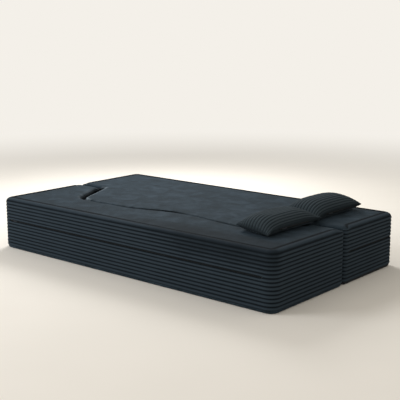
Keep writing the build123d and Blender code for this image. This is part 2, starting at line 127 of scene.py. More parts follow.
class NodeBench:
    """A finish's node tree with its shader, and short ways to add the nodes that most finishes need."""

    def __init__(self, tree: bpy.types.NodeTree) -> None:
        """Clear a tree and give it a shader, an output and the object's own coordinates.

        Args:
            tree: the material's node tree.
        """
        tree.nodes.clear()
        self.tree = tree
        self.shader = add_node(tree, "ShaderNodeBsdfPrincipled")
        self.output = add_node(tree, "ShaderNodeOutputMaterial", None, {"Surface": self.shader.outputs["BSDF"]})
        self.place = add_node(tree, "ShaderNodeTexCoord").outputs["Object"]

    def add(self, kind: str, output: str | int, inputs: dict, settings: dict | None = None) -> bpy.types.NodeSocket:
        """Add a node and give one of its outputs."""
        return add_node(self.tree, kind, settings, inputs).outputs[output]

    def noise(self, scale: float, detail: float, roughness: float = 0.5,
              distortion: float = 0.0) -> bpy.types.NodeSocket:
        """Give noise over the object's own coordinates."""
        return self.add("ShaderNodeTexNoise", "Fac", {
            "Vector": self.place, "Scale": scale, "Detail": detail, "Roughness": roughness,
            "Distortion": distortion})

    def layer(self, name: str) -> bpy.types.NodeSocket:
        """Give the value that the mesh holds for each of its points under a name."""
        return self.add("ShaderNodeAttribute", "Fac", {}, {"attribute_name": name})

    def maths(self, operation: str, *terms: bpy.types.NodeSocket | float) -> bpy.types.NodeSocket:
        """Give the result of one operation on its terms."""
        return self.add("ShaderNodeMath", 0, dict(enumerate(terms)), {"operation": operation})

    def tint(self, share: bpy.types.NodeSocket, colour: bpy.types.NodeSocket, other: str) -> bpy.types.NodeSocket:
        """Give a colour that turns into another one by a share."""
        return self.add("ShaderNodeMix", 2, {"Factor": share, 6: colour, 7: srgb(other)}, {"data_type": "RGBA"})

    def bump(self, height: bpy.types.NodeSocket, strength: float, distance: float,
             under: bpy.types.NodeSocket | None = None) -> bpy.types.NodeSocket:
        """Give a surface raised by a height, over another raised surface if there is one."""
        inputs = {"Height": height, "Strength": strength, "Distance": distance}
        return self.add("ShaderNodeBump", "Normal", inputs | ({} if under is None else {"Normal": under}))

    def ramp(self, factor: bpy.types.NodeSocket, *stops: tuple[float, str]) -> bpy.types.NodeSocket:
        """Colour a factor by stops.

        Args:
            factor: the socket that drives the ramp.
            stops: positions along the ramp with their hex colours.

        Returns:
            The ramp's colour output.
        """
        node = add_node(self.tree, "ShaderNodeValToRGB", None, {"Fac": factor})
        elements = node.color_ramp.elements
        while len(elements) < len(stops):
            elements.new(0.5)
        for element, (position, colour) in zip(elements, stops):
            element.position = position
            element.color = srgb(colour)
        return node.outputs["Color"]

    def set_shader(self, inputs: dict) -> None:
        """Give the shader's own inputs their values and links."""
        set_inputs(self.tree, self.shader, inputs)


class Finish:
    """A procedural material that is made once and shared."""

    made: dict[str, bpy.types.Material] = {}

    def material(self) -> bpy.types.Material:
        """Give this finish's material, and make it the first time.

        Returns:
            The material.
        """
        if self.name not in Finish.made:
            material = bpy.data.materials.new(self.name)
            material.use_nodes = True
            self.dress(NodeBench(material.node_tree))
            Finish.made[self.name] = material
        return Finish.made[self.name]

    def dress(self, bench: NodeBench) -> None:
        """Build the finish's nodes in front of its shader."""
        raise NotImplementedError


def pile_sheen(tint: str) -> dict:
    """Give the shader's inputs for the faint sheen of a pile."""
    return {"Specular IOR Level": 0.06, "Sheen Weight": 0.05, "Sheen Roughness": 0.4, "Sheen Tint": srgb(tint)}


@dataclass(frozen=True)
class Plush(Finish):
    """Short-pile polyester plush: matt, patched where the pile lies another way, with a painted highlight on a free
    edge and painted shade in the crease, in the seam under the roll and towards the near right corner."""

    name: str = "short_pile_plush"
    dark: str = "#1F282E"
    body: str = "#27323A"
    brushed: str = "#35414B"
    # The colour of the painted highlight on a free edge
    edge: str = "#A3B0B8"
    shade: str = "#0A0E11"
    sheen: str = "#A9C0D0"
    patch_size: float = 0.085
    # The real pile is about 1 mm apart, drawn 3 mm apart so that it shows
    pile_size: float = 0.003
    pile_share: float = 0.22

    def dress(self, bench: NodeBench) -> None:
        """Lay brushed patches and a fine pile over the cloth, then the painted highlight and the painted shade."""
        patches = bench.noise(1 / self.patch_size, 5.0, 0.62, 0.6)
        pile = bench.noise(1 / self.pile_size, 2.0, 0.6)
        mixed = bench.maths("MULTIPLY_ADD", pile, self.pile_share, patches)
        cloth = bench.ramp(mixed, (0.42, self.dark), (0.62, self.body), (0.84, self.brushed))
        # Painted highlight along the free edge, broken up by the patches
        worn = bench.maths("MULTIPLY", bench.layer("edge_painted_highlight"), patches)
        painted_highlight = bench.tint(worn, cloth, self.edge)
        # Painted shade in the crease, in the seam under the roll and towards the near right corner
        colour = bench.tint(bench.layer("painted_shade"), painted_highlight, self.shade)
        tufts = bench.bump(pile, 0.35, 0.0012)
        bench.set_shader({"Base Color": colour, "Normal": bench.bump(patches, 0.25, 0.004, tufts),
                          "Roughness": 0.9, **pile_sheen(self.sheen)})


@dataclass(frozen=True)
class Corduroy(Finish):
    """Wide-wale corduroy: padded wales with painted light on the crest and painted shade in the stitched groove."""

    name: str = "wide_wale_corduroy"
    groove: str = "#0F1519"
    flank: str = "#222A31"
    crest: str = "#303A42"
    sheen: str = "#A3B6C4"
    # The cord's own fine wales are 2 mm apart
    pile_size: float = 0.002
    pile_share: float = 0.16
    wear_share: float = 0.3

    def dress(self, bench: NodeBench) -> None:
        """Colour the cloth by the painted light and shade of its ribs, with a fine pile over it."""
        rise = bench.layer("rib_painted_shading")
        pile = bench.noise(1 / self.pile_size, 2.0, 0.6)
        wear = bench.noise(9.0, 4.0, 0.6)
        worn = bench.maths("MULTIPLY_ADD", wear, self.wear_share, rise)
        fine = bench.maths("MULTIPLY_ADD", pile, self.pile_share, worn)
        # Painted shade in the grooves and painted light on the crests: the ramp runs from the groove colour to the
        # crest colour
        colour = bench.ramp(fine, (0.35, self.groove), (0.8, self.flank), (1.15, self.crest))
        bench.set_shader({"Base Color": colour, "Normal": bench.bump(pile, 0.4, 0.001), "Roughness": 0.92,
                          **pile_sheen(self.sheen)})


@dataclass(frozen=True)
class Weave(Finish):
    """Plain woven cloth or tape: crossing threads that catch the light in turn."""

    name: str
    thread: str
    gap: str
    pitch: float
    rough: float = 0.85
    # A wave texture of scale one turns through this many radians in a metre
    wave_turn: float = 20.0

    def dress(self, bench: NodeBench) -> None:
        """Cross two sets of threads, one along the bed and one up or across it."""
        scale = 2 * math.pi / self.pitch / self.wave_turn
        along, across, up = (
            bench.add("ShaderNodeTexWave", "Fac",
                      {"Vector": bench.place, "Scale": scale, "Distortion": 0.4, "Detail": 1.0},
                      {"wave_type": "BANDS", "bands_direction": direction})
            for direction in ("X", "Y", "Z"))
        threads = bench.maths("MAXIMUM", bench.maths("MULTIPLY", along, across), up)
        colour = bench.ramp(threads, (0.1, self.gap), (0.8, self.thread))
        bench.set_shader({"Base Color": colour, "Normal": bench.bump(threads, 0.5, 0.0005),
                          "Roughness": self.rough, "Specular IOR Level": 0.25})


@dataclass(frozen=True)
class Foam(Finish):
    """Cut polyurethane foam: open cells, a little yellowed."""

    name: str
    body: str
    cell: str
    cell_size: float = 0.004

    def dress(self, bench: NodeBench) -> None:
        """Pit the cut face with cells."""
        cells = bench.add("ShaderNodeTexVoronoi", "Distance",
                          {"Vector": bench.place, "Scale": 1 / self.cell_size, "Randomness": 1.0})
        colour = bench.ramp(cells, (0.0, self.cell), (0.6, self.body))
        bench.set_shader({"Base Color": colour, "Normal": bench.bump(cells, 0.6, 0.001),
                          "Roughness": 0.95, "Specular IOR Level": 0.1})


@dataclass(frozen=True)
class Fibre(Finish):
    """Polyester wadding: white crimped fibre."""

    name: str = "polyester_wadding"
    body: str = "#E6E4DE"
    shade: str = "#BDBBB4"

    def dress(self, bench: NodeBench) -> None:
        """Tangle the surface with stretched noise."""
        tangle = bench.noise(70.0, 8.0, 0.75, 2.5)
        colour = bench.ramp(tangle, (0.3, self.shade), (0.7, self.body))
        bench.set_shader({"Base Color": colour, "Normal": bench.bump(tangle, 0.8, 0.003),
                          "Roughness": 1.0, "Specular IOR Level": 0.05})


@dataclass(frozen=True)
class Moulded(Finish):
    """A small hard part: a nylon coil, or die-cast zinc with a dark finish speckled with a paler tone."""

    name: str
    body: str
    worn: str
    metallic: float
    rough: float
    rough_range: float = 0.15
    grain: float = 0.0015

    def dress(self, bench: NodeBench) -> None:
        """Vary the colour and the gloss a little over the part."""
        speckle = bench.noise(1 / self.grain, 3.0)
        colour = bench.ramp(speckle, (0.4, self.body), (0.75, self.worn))
        gloss = bench.add("ShaderNodeMapRange", "Result", {
            "Value": speckle, "To Min": self.rough, "To Max": self.rough + self.rough_range})
        bench.set_shader({"Base Color": colour, "Roughness": gloss,
                          "Normal": bench.bump(speckle, 0.15, 0.0002), "Metallic": self.metallic})


@dataclass(frozen=True)
class PaintedFloor(Finish):
    """A plain pale floor that keeps the bed's shadow and runs into the pale room further off."""

    name: str = "pale_floor"
    body: str = "#EEE9E0"
    light: str = "#F1ECE3"
    room: str = "#F4F0E9"
    near: float = 1.7
    far: float = 6.0

    def dress(self, bench: NodeBench) -> None:
        """Give the floor one soft, nearly even colour, and past the bed the room's own."""
        colour = bench.ramp(bench.noise(1.5, 2.0), (0.3, self.body), (0.7, self.light))
        away = bench.add("ShaderNodeVectorMath", "Value", {0: bench.place}, {"operation": "LENGTH"})
        fade = bench.add("ShaderNodeMapRange", "Result", {"Value": away, "From Min": self.near, "From Max": self.far},
                         {"interpolation_type": "SMOOTHSTEP"})
        seen = bench.add("ShaderNodeLightPath", "Is Camera Ray", {})
        glow = bench.add("ShaderNodeEmission", 0, {"Color": srgb(self.room), "Strength": 1.0})
        mix = bench.add("ShaderNodeMixShader", 0, {
            0: bench.maths("MULTIPLY", fade, seen), 1: bench.shader.outputs["BSDF"], 2: glow})
        set_inputs(bench.tree, bench.output, {"Surface": mix})
        bench.set_shader({"Base Color": colour, "Roughness": 0.9, "Specular IOR Level": 0.1})


PLUSH = Plush()
CORDUROY = Corduroy()
# The pillows' ribs are painted with the same light and shade, less strongly
PILLOW_CORDUROY = Corduroy("pillow_corduroy", groove="#1E2529", flank="#2D353A", crest="#363F44")
BASE_CLOTH = Weave("woven_base_cloth", "#23272B", "#101315", 0.004)
HINGE_CLOTH = Weave("woven_hinge_tape", "#2A3238", "#12171B", 0.003)
ZIP_TAPE = Weave("woven_zip_tape", "#080D12", "#030507", 0.002)
SUPPORT_FOAM = Foam("firm_polyurethane_foam", "#D9CFA8", "#A3946A", 0.003)
COMFORT_FOAM = Foam("soft_polyurethane_foam", "#EDEAE0", "#BDB8A8", 0.004)
WADDING = Fibre()
NYLON = Moulded("nylon_zip_coil", "#04070A", "#0B1116", 0.0, 0.9)
ZINC = Moulded("lacquered_die_cast_zinc", "#131920", "#28313A", 0.3, 0.5)
FLOOR = PaintedFloor()


# Meshes

def deselect_all() -> None:
    """Leave nothing selected, in object mode."""
    if bpy.context.object and bpy.context.object.mode != "OBJECT":
        bpy.ops.object.mode_set(mode="OBJECT")
    bpy.ops.object.select_all(action="DESELECT")


def make_active(piece: bpy.types.Object) -> None:
    """Select one piece alone and make it the active one."""
    deselect_all()
    piece.select_set(True)
    bpy.context.view_layer.objects.active = piece


@contextlib.contextmanager
def shape_of(piece: bpy.types.Object) -> Iterator[bmesh.types.BMesh]:
    """Open a piece's mesh for work on its points and faces, and put it back afterwards.

    Args:
        piece: the object.

    Yields:
        The mesh, open for work.
    """
    shape = bmesh.new()
    shape.from_mesh(piece.data)
    yield shape
    shape.to_mesh(piece.data)
    shape.free()


def face_outwards(piece: bpy.types.Object) -> None:
    """Turn every face of a closed mesh outwards."""
    with shape_of(piece) as shape:
        bmesh.ops.recalc_face_normals(shape, faces=shape.faces)


def linked(name: str, mesh: bpy.types.Mesh) -> bpy.types.Object:
    """Put a mesh in the scene as an object at the origin."""
    piece = bpy.data.objects.new(name, mesh)
    bpy.context.scene.collection.objects.link(piece)
    return piece


def add_layer(mesh: bpy.types.Mesh, name: str, values: np.ndarray) -> None:
    """Let a mesh hold a value for each of its points."""
    mesh.attributes.new(name, "FLOAT", "POINT").data.foreach_set("value", values.astype(np.float32))


def new_mesh_piece(name: str, points: np.ndarray | list, faces: list, rise: np.ndarray | None = None,
                   closed: bool = True) -> bpy.types.Object:
    """Make a smooth mesh object at the origin.

    Args:
        name: the piece's name.
        points: its vertices.
        faces: its faces, as vertex numbers.
        rise: how high each vertex stands on its rib, if the piece has ribs; the corduroy paints light and shade by
            it.
        closed: whether its faces are to be turned outwards.

    Returns:
        The new object.
    """
    mesh = bpy.data.meshes.new(name)
    mesh.from_pydata([tuple(map(float, point)) for point in points], [], faces)
    if rise is not None:
        add_layer(mesh, "rib_painted_shading", rise)
    mesh.shade_smooth()
    piece = linked(name, mesh)
    if closed:
        face_outwards(piece)
    return piece


def tube_faces(rings: int, size: int) -> list[tuple[int, ...]]:
    """Give the faces of a tube that is closed at both ends.

    Args:
        rings: how many rings of points it has.
        size: how many points are in a ring.

    Returns:
        Its side faces and then its two ends, as vertex numbers.
    """
    faces = []
    for first in range(0, (rings - 1) * size, size):
        for j in range(size):
            k = (j + 1) % size
            faces.append((first + j, first + size + j, first + size + k, first + k))
    return [*faces, tuple(range(size)), tuple(reversed(range((rings - 1) * size, rings * size)))]


def apply_modifier(piece: bpy.types.Object, kind: str, settings: dict) -> None:
    """Add a modifier with its settings and apply it.

    Args:
        piece: the object it works on.
        kind: the modifier's Blender type.
        settings: attributes to set on it.
    """
    modifier = piece.modifiers.new(kind.title(), kind)
    assign(modifier, settings)
    make_active(piece)
    bpy.ops.object.modifier_apply(modifier=modifier.name)


def softened_copy(name: str, nodes: Sequence[str], voxel: float, rounds: int) -> bpy.types.Object:
    """Join copies of CAD nodes into one piece with soft edges.

    Args:
        name: the new piece's name.
        nodes: the CAD nodes to copy.
        voxel: how fine the new mesh is.
        rounds: how many times it is smoothed.

    Returns:
        The new object.
    """
    shape = bmesh.new()
    for node in nodes:
        shape.from_mesh(bpy.data.objects[node].data)
    bmesh.ops.remove_doubles(shape, verts=shape.verts, dist=0.00001)
    mesh = bpy.data.meshes.new(name)
    shape.to_mesh(mesh)
    shape.free()
    piece = linked(name, mesh)
    apply_modifier(piece, "REMESH", {"mode": "VOXEL", "voxel_size": voxel})
    apply_modifier(piece, "SMOOTH", {"factor": 0.5, "iterations": rounds})
    return piece


def divided_box(name: str, middle_z: float, size: tuple[float, float, float], cuts: int) -> bpy.types.Object:
    """Make a box over the origin, with its faces divided into squares.

    Args:
        name: the piece's name.
        middle_z: the height of the box's middle.
        size: its length, width and height.
        cuts: how many cuts divide each edge.

    Returns:
        The new object.
    """
    deselect_all()
    bpy.ops.mesh.primitive_cube_add(size=1, location=(0, 0, middle_z))
    piece = bpy.context.object
    piece.name = piece.data.name = name
    piece.scale = size
    bpy.ops.object.transform_apply(location=True, rotation=True, scale=True)
    bpy.ops.object.mode_set(mode="EDIT")
    bpy.ops.mesh.select_all(action="SELECT")
    bpy.ops.mesh.subdivide(number_cuts=cuts)
    bpy.ops.object.mode_set(mode="OBJECT")
    return piece


def points_of(piece: bpy.types.Object) -> np.ndarray:
    """Give a piece's vertices as an array of rows.

    Args:
        piece: the object.

    Returns:
        Its points.
    """
    points = np.empty(len(piece.data.vertices) * 3)
    piece.data.vertices.foreach_get("co", points)
    return points.reshape(-1, 3)


def set_points(piece: bpy.types.Object, points: np.ndarray) -> None:
    """Move a piece's vertices to the rows of an array."""
    piece.data.vertices.foreach_set("co", points.ravel())
    piece.data.update()


def ripple(x: float, y: float, z: float = 0.0) -> float:
    """Give smooth noise between about minus one and one at a place."""
    return noise.noise(Vector((x, y, z)))


def swell(x: float, y: float, z: float = 0.0) -> float:
    """Give smooth noise between about zero and one at a place."""
    return 0.5 + 0.5 * ripple(x, y, z)


def share_of(value: float | np.ndarray, start: float, length: float) -> float | np.ndarray:
    """Give how far a value has gone from a start over a length, from none to all."""
    return np.clip((value - start) / length, 0, 1)


def eased(share: float | np.ndarray) -> float | np.ndarray:
    """Let a share start and end gently."""
    return share * share * (3 - 2 * share)


def wear_finish(piece: bpy.types.Object, finish: Finish) -> None:
    """Put one finish on the whole of a piece."""
    piece.data.materials.clear()
    piece.data.materials.append(finish.material())


@dataclass
class Fitting:
    """Where a finished piece belongs: its CAD node, its body, its finish, its slot and how full it is."""

    node: str
    body: str
    finish: Finish
    slot: str
    fill: float | None = None

    def put(self, piece: bpy.types.Object) -> bpy.types.Object:
        """Dress a piece and hang it on its body.

        Args:
            piece: the finished mesh.

        Returns:
            The same piece.
        """
        wear_finish(piece, self.finish)
        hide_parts(self.node)
        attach(piece, self.body)
        log.info("%s: %d faces on %s", piece.name, len(piece.data.polygons), self.body)
        return piece


# Plan outlines

@dataclass(frozen=True)
class Corner:
    """A corner of a block's plan and the radius that rounds it."""

    x: float
    y: float
    radius: float


@dataclass(frozen=True)
class Station:
    """A place on an outline, the way out of it, and how far along the run it lies."""

    x: float
    y: float
    out_x: float
    out_y: float
    along: float

    def point(self, out: float, z: float) -> tuple[float, float, float]:
        """Give the place a distance outside the outline, at a height."""
        return (self.x + self.out_x * out, self.y + self.out_y * out, z)


# A section's point: how far outside the outline it lies, its height, and how high it stands on its rib
SectionPoint = tuple[float, float, float]
SectionRule = Callable[[Station], list[SectionPoint]]


@dataclass(frozen=True)
class BedPlan:
    """The plan sizes of the bed, as in the CAD source."""

    half_length: float = 0.9475
    half_width: float = 0.545
    height: float = 0.290
    seat_front_y: float = 0.050
    back_face_y: float = 0.042
    outer_radius: float = 0.052
    parting_radius: float = 0.022
    arm_width: float = 0.190
    arm_inner_radius: float = 0.025
    shoulder_drop: float = 0.060
    shoulder_inset: float = 0.005
    shoulder_radius: float = 0.090
    recess_corner_share: float = 0.65
    recess_corner_radius: float = 0.130
    tongue_reach: float = 0.322
    tongue_root_inset: float = 0.216
    tongue_corner_share: float = 0.615
    tongue_root_radius: float = 0.015
    tongue_corner_radius: float = 0.090
    crease_gap: float = 0.0015
    crease_radius: float = 0.380
    crease_shares: tuple = ((-0.44, 1.0), (-0.20, 0.97), (0.04, 0.75), (0.22, 0.755), (0.40, 0.84))
    crease_left_share: float = 0.965
    crease_right_share: float = 0.91
    rib_pitch: float = 0.0185
    rib_depth: float = 0.0045
    skin_inset: float = 0.0085
    rim_height: float = 0.0145
    rim_inset: float = 0.016
    mid_seam_z: float = 0.1625
    top_seam_z: float = 0.2735
    zip_slot_half: float = 0.0035
    zip_opening: float = 0.004
    zip_end_margin: float = 0.020
    slider_margin: float = 0.025
    roll_inset: float = 0.034
    roll_lead: float = 0.0015
    # Nearer to the parting than roll_narrow the roll has its least share of its width, and then it widens
    roll_least: float = 0.12
    roll_narrow: float = 0.030
    roll_widening: float = 0.045

    @property
    def parting_y(self) -> float:
        """The middle of the gap between the blocks' straight faces."""
        return (self.seat_front_y + self.back_face_y) / 2

    @property
    def roll_radius(self) -> float:
        """The radius of the rolled edge between the top seam and the flat top."""
        rise = self.height - self.top_seam_z + self.roll_lead
        return (self.roll_inset ** 2 + rise ** 2) / (2 * rise)

    def roll_reach(self, station: Station) -> float:
        """Give how far in the wide last rib reaches over the rolled edge: less beside the parting.

        Args:
            station: a place on the outer sides.

        Returns:
            The distance inside the outline.
        """
        widening = eased(share_of(abs(station.y - self.parting_y), self.roll_narrow, self.roll_widening))
        share = self.roll_least + (1 - self.roll_least) * widening
        return self.rib_depth + (self.roll_inset - self.rib_depth) * share

    def crease_place(self, along_share: float, reach_share: float, side: int) -> tuple[float, float]:
        """Give a point of the crease on the seat's side (1) or the back's side (-1) of its gap."""
        y = self.parting_y - reach_share * self.tongue_reach + side * self.crease_gap / 2
        return (along_share * self.half_length, y)

    def crease_end(self, last: tuple[float, float], end_reach: float, along_share: float, radius: float,
                   side: int) -> Corner:
        """Give the rounded corner past one end of the crease.

        Args:
            last: the crease's last point, as shares.
            end_reach: the recess corner's reach share.
            along_share: the corner's own share along the bed.
            radius: the corner's radius.
            side: 1 for the seat block, -1 for the back block.

        Returns:
            The corner.
        """
        way = math.copysign(1, last[0])
        end_along, along = way * self.recess_corner_share, way * along_share
        reach = last[1] + (end_reach - last[1]) * (along - last[0]) / (end_along - last[0])
        return Corner(*self.crease_place(along, reach, side), radius)

    def crease_corners(self, along_share: float, radius: float, side: int) -> list[Corner]:
        """Give the corners along the crease, left to right.

        Args:
            along_share: how far out its two end corners lie, as a share of the half length.
            radius: those corners' radius.
            side: 1 for the seat block, -1 for the back block.

        Returns:
            The corners.
        """
        left = self.crease_end(self.crease_shares[0], self.crease_left_share, along_share, radius, side)
        right = self.crease_end(self.crease_shares[-1], self.crease_right_share, along_share, radius, side)
        between = [Corner(*self.crease_place(*shares, side), self.crease_radius) for shares in self.crease_shares]
        return [left, *between, right]

    def seat_corners(self) -> list[Corner]:
        """Give the seat block's corners, anticlockwise, the outer two last.

        Returns:
            The corners, from the left of the parting.
        """
        root_x = self.half_length - self.tongue_root_inset
        length, front = self.half_length, self.seat_front_y
        return [
            Corner(-length, front, self.parting_radius),
            Corner(-root_x, front, self.tongue_root_radius),
            *self.crease_corners(self.tongue_corner_share, self.tongue_corner_radius, 1),
            Corner(root_x, front, self.tongue_root_radius),
            Corner(length, front, self.parting_radius),
            Corner(length, self.half_width, self.outer_radius),
            Corner(-length, self.half_width, self.outer_radius),
        ]

    def back_corners(self) -> list[Corner]:
        """Give the back block's corners, anticlockwise, the outer two last.

        Returns:
            The corners, from the right of the parting.
        """
        arm_x = self.half_length - self.arm_width
        shoulder_x, shoulder_y = arm_x - self.shoulder_inset, self.back_face_y - self.shoulder_drop
        length, face = self.half_length, self.back_face_y
        return [
            Corner(length, face, self.parting_radius),
            Corner(arm_x, face, self.arm_inner_radius),
            Corner(shoulder_x, shoulder_y, self.shoulder_radius),
            *reversed(self.crease_corners(self.recess_corner_share, self.recess_corner_radius, -1)),
            Corner(-shoulder_x, shoulder_y, self.shoulder_radius),
            Corner(-arm_x, face, self.arm_inner_radius),
            Corner(-length, face, self.parting_radius),
            Corner(-length, -self.half_width, self.outer_radius),
            Corner(length, -self.half_width, self.outer_radius),
        ]


PLAN = BedPlan()


class Reach(enum.Enum):
    """Which stretch of a block's outline a piece follows."""

    OUTER = "outer"
    INNER = "inner"
    WHOLE = "whole"


@dataclass(frozen=True)
class Line:
    """A straight run of an outline."""

    start: Vector
    end: Vector
    out: Vector
    turn: float = 0.0

    @property
    def length(self) -> float:
        """How long the run is."""
        return (self.end - self.start).length

    def place(self, step: int, steps: int) -> tuple[Vector, Vector]:
        """Give the place some of its steps along the run, and the way out there."""
        return self.start.lerp(self.end, step / steps), self.out


@dataclass(frozen=True)
class Arc:
    """A turned run of an outline; its sign is -1 where the outline turns inwards."""

    centre: Vector
    radius: float
    sign: int
    start_out: Vector
    turn: float

    @property
    def length(self) -> float:
        """How long the run is."""
        return self.radius * abs(self.turn)

    def edge(self, out: Vector) -> Vector:
        """Give the arc's point that faces a way."""
        return self.centre + out * (self.sign * self.radius)

    def place(self, step: int, steps: int) -> tuple[Vector, Vector]:
        """Walk some of the run's steps.

        Args:
            step: how many are walked.
            steps: how many there are in all.

        Returns:
            The place that is reached, and the way out there.
        """
        out = self.start_out.copy()
        out.rotate(Matrix.Rotation(self.turn * step / steps, 2))
        return self.edge(out), out


class Outline:
    """A block's rounded plan, walked anticlockwise."""

    def __init__(self, corners: Sequence[Corner]) -> None:
        """Work out the straight and turned runs between corners.

        Args:
            corners: the plan's corners, anticlockwise, the outer two last.
        """
        points = [Vector((corner.x, corner.y)) for corner in corners]
        ways = [(after - this).normalized() for this, after in zip(points, [*points[1:], points[0]])]
        arcs = []
        for i, corner in enumerate(corners):
            before, after = ways[i - 1], ways[i]
            turn = math.atan2(before.x * after.y - before.y * after.x, before.dot(after))
            centre = points[i] + (after - before).normalized() * (corner.radius / math.cos(turn / 2))
            sign = 1 if turn > 0 else -1
            arcs.append(Arc(centre, corner.radius, sign, Vector((before.y, -before.x)), turn))
        self.runs: list[Line | Arc] = []
        for last, this in zip([arcs[-1], *arcs], arcs):
            out = this.start_out
            self.runs += [Line(last.edge(out), this.edge(out), out), this]

    def stations(self, reach: Reach, spacing: float, turn_step: float = 7.0) -> list[Station]:
        """Walk a stretch of the outline.

        Args:
            reach: which stretch.
            spacing: how far apart the stations are, at most.
            turn_step: how many degrees apart they are on turned runs, at most.

        Returns:
            The stations, and for the whole outline no repeat of the first at the end.
        """
        runs = {Reach.OUTER: self.runs[-5:] + self.runs[:2], Reach.INNER: self.runs[2:-5],
                Reach.WHOLE: self.runs}[reach]
        found: list[Station] = []
        along = 0.0
        for run in runs:
            steps = max(1, math.ceil(abs(math.degrees(run.turn)) / turn_step), math.ceil(run.length / spacing))
            last = run is runs[-1] and reach is not Reach.WHOLE
            for step in range(steps + last):
                place, out = run.place(step, steps)
                found.append(Station(place.x, place.y, out.x, out.y, along + run.length * step / steps))
            along += run.length
        return found


def swept_piece(name: str, stations: Sequence[Station], section: SectionRule) -> bpy.types.Object:
    """Carry a closed section along stations.

    Args:
        name: the piece's name.
        stations: where the section stands.
        section: gives the section at a station.

    Returns:
        The closed piece, with its rib rise for each point, by which light and shade are painted.
    """
    rows = [section(station) for station in stations]
    points = [station.point(out, z) for station, row in zip(stations, rows) for out, z, _ in row]
    rise = np.array([height for row in rows for _, _, height in row], float)
    return new_mesh_piece(name, points, tube_faces(len(rows), len(rows[0])), rise)


# Covers of the blocks

@dataclass
class RibbedBand:
    """A padded corduroy band round a block's three outer sides, whose ribs lie flat one over another."""

    name: str
    block: str
    outline: Outline
    low: float
    ribs: int
    zip_share: Callable[[Station], float]
    zip_above: bool
    seed: float
    rolled: bool = False
    spacing: float = 0.011
    rib_stops: tuple[float, ...] = (0.0, 0.07, 0.2, 0.36, 0.5, 0.64, 0.8, 0.93)
    rib_power: float = 0.62
    groove_sway: float = 0.0007
    slack: float = 0.13
    crumple: float = 0.0005
    roll_stops: tuple[float, ...] = (0.04, 0.1, 0.18, 0.28, 0.4, 0.52, 0.64, 0.75, 0.85, 0.92, 0.97, 1.0)
    roll_back_stops: tuple[float, ...] = (0.0, 0.35, 0.7, 1.0)
    roll_depth: float = 0.003
    roll_wall: float = 0.0022
    roll_slack: float = 0.10
    # The wide last rib takes this share of the painted light that the other ribs take
    roll_light: float = 0.88
    roll_overlap: float = 0.0008
    # Painted shade on the near side's ribs: more to the right, from a start in y and in z
    right_shade_along: float = 0.45
    right_shade_side: tuple[float, float] = (0.47, 0.05)
    right_shade_up: tuple[float, float] = (0.17, 0.08)
    right_shade_share: float = 0.08
    right_shade_high_share: float = 0.30

    def painted_rib_light(self, station: Station, z: float) -> float:
        """Give how much painted light a rib takes: less under the painted shade, which is strongest high on the near
        side's right.

        Args:
            station: where the rib is looked at.
            z: the height there.

        Returns:
            One where the rib takes its full painted light, and less under the painted shade.
        """
        along = share_of(station.x, 0.0, self.right_shade_along)
        near, high = share_of(-station.y, *self.right_shade_side), share_of(z, *self.right_shade_up)
        return 1 - near * along * (self.right_shade_share * along + self.right_shade_high_share * high)

    def roll(self, station: Station) -> list[SectionPoint]:
        """Give the wide last rib's section, out over the rolled edge and back under itself.

        Args:
            station: where the section stands.

        Returns:
            The section's points.
        """
        radius, inset = PLAN.roll_radius, PLAN.roll_inset
        middle_z = PLAN.height - radius
        fullness = 1 - self.roll_slack * swell(station.x * 5, station.y * 5, self.seed + 4)
        start = math.asin((inset - PLAN.rib_depth) / (radius - self.roll_depth))
        end = math.asin((inset - PLAN.roll_reach(station)) / radius)
        light = self.roll_light * self.painted_rib_light(station, middle_z)
        points = []
        for stop in self.roll_stops:
            turn = start + (end - start) * stop
            bulge = math.sin(math.pi * stop) ** 0.4 * fullness
            reach = radius - self.roll_depth * (1 - bulge)
            points.append((reach * math.sin(turn) - inset, middle_z + reach * math.cos(turn),
                           light * math.sin(math.pi * stop) ** 0.7))
        under = radius - self.roll_depth - self.roll_wall
        back = math.asin((inset - PLAN.skin_inset - self.roll_overlap) / under)
        for stop in self.roll_back_stops:
            turn = end + (back - end) * stop
            points.append((under * math.sin(turn) - inset, middle_z + under * math.cos(turn), 0.0))
        return points

    def groove_z(self, number: int, station: Station) -> float:
        """Give the height of one groove at a station.

        Args:
            number: the groove's number, from the foot up.
            station: where it is asked for.

        Returns:
            The height, which sways a little as sewn lines do and makes room for the zip.
        """
        z = self.low + number * PLAN.rib_pitch
        if 0 < number < self.ribs:
            return z + self.groove_sway * ripple(station.x * 2.1 + self.seed, station.y * 2.1, number * 3.7)
        opening = PLAN.zip_slot_half * self.zip_share(station)
        if self.zip_above:
            return z - opening if number else z
        return z if number else z + opening

    def section(self, station: Station) -> list[SectionPoint]:
        """Give the band's closed section: up the ribbed face and down the inner one.

        Args:
            station: where the section stands.

        Returns:
            The section's points.
        """
        depth, inner = PLAN.rib_depth, -PLAN.skin_inset
        levels = [self.groove_z(number, station) for number in range(self.ribs + 1)]
        points = [(inner, levels[0], 0.0)]
        for number, (low, high) in enumerate(zip(levels, levels[1:])):
            light = self.painted_rib_light(station, high)
            fullness = 1 - self.slack * swell(station.x * 7 + number * 5.3, station.y * 7, self.seed)
            for stop in self.rib_stops:
                bulge = math.sin(math.pi * stop) ** self.rib_power * fullness
                fold = self.crumple * ripple(station.x * 42, station.y * 42, number * 2.9 + stop * 2) * bulge
                points.append((depth * (bulge - 1) - abs(fold), low + (high - low) * stop,
                               light * math.sin(math.pi * stop)))
        points.append((-depth, levels[-1], 0.0))
        if self.rolled:
            points += self.roll(station)
        return [*points, (inner, levels[-1], 0.0), (inner, (levels[0] + levels[-1]) / 2, 0.0)]

    def build(self) -> None:
        """Build the band and hang it on its block."""
        piece = swept_piece(f"{self.name}_cover", self.outline.stations(Reach.OUTER, self.spacing), self.section)
        Fitting(self.name, self.block, CORDUROY, "corduroy", 0.8).put(piece)


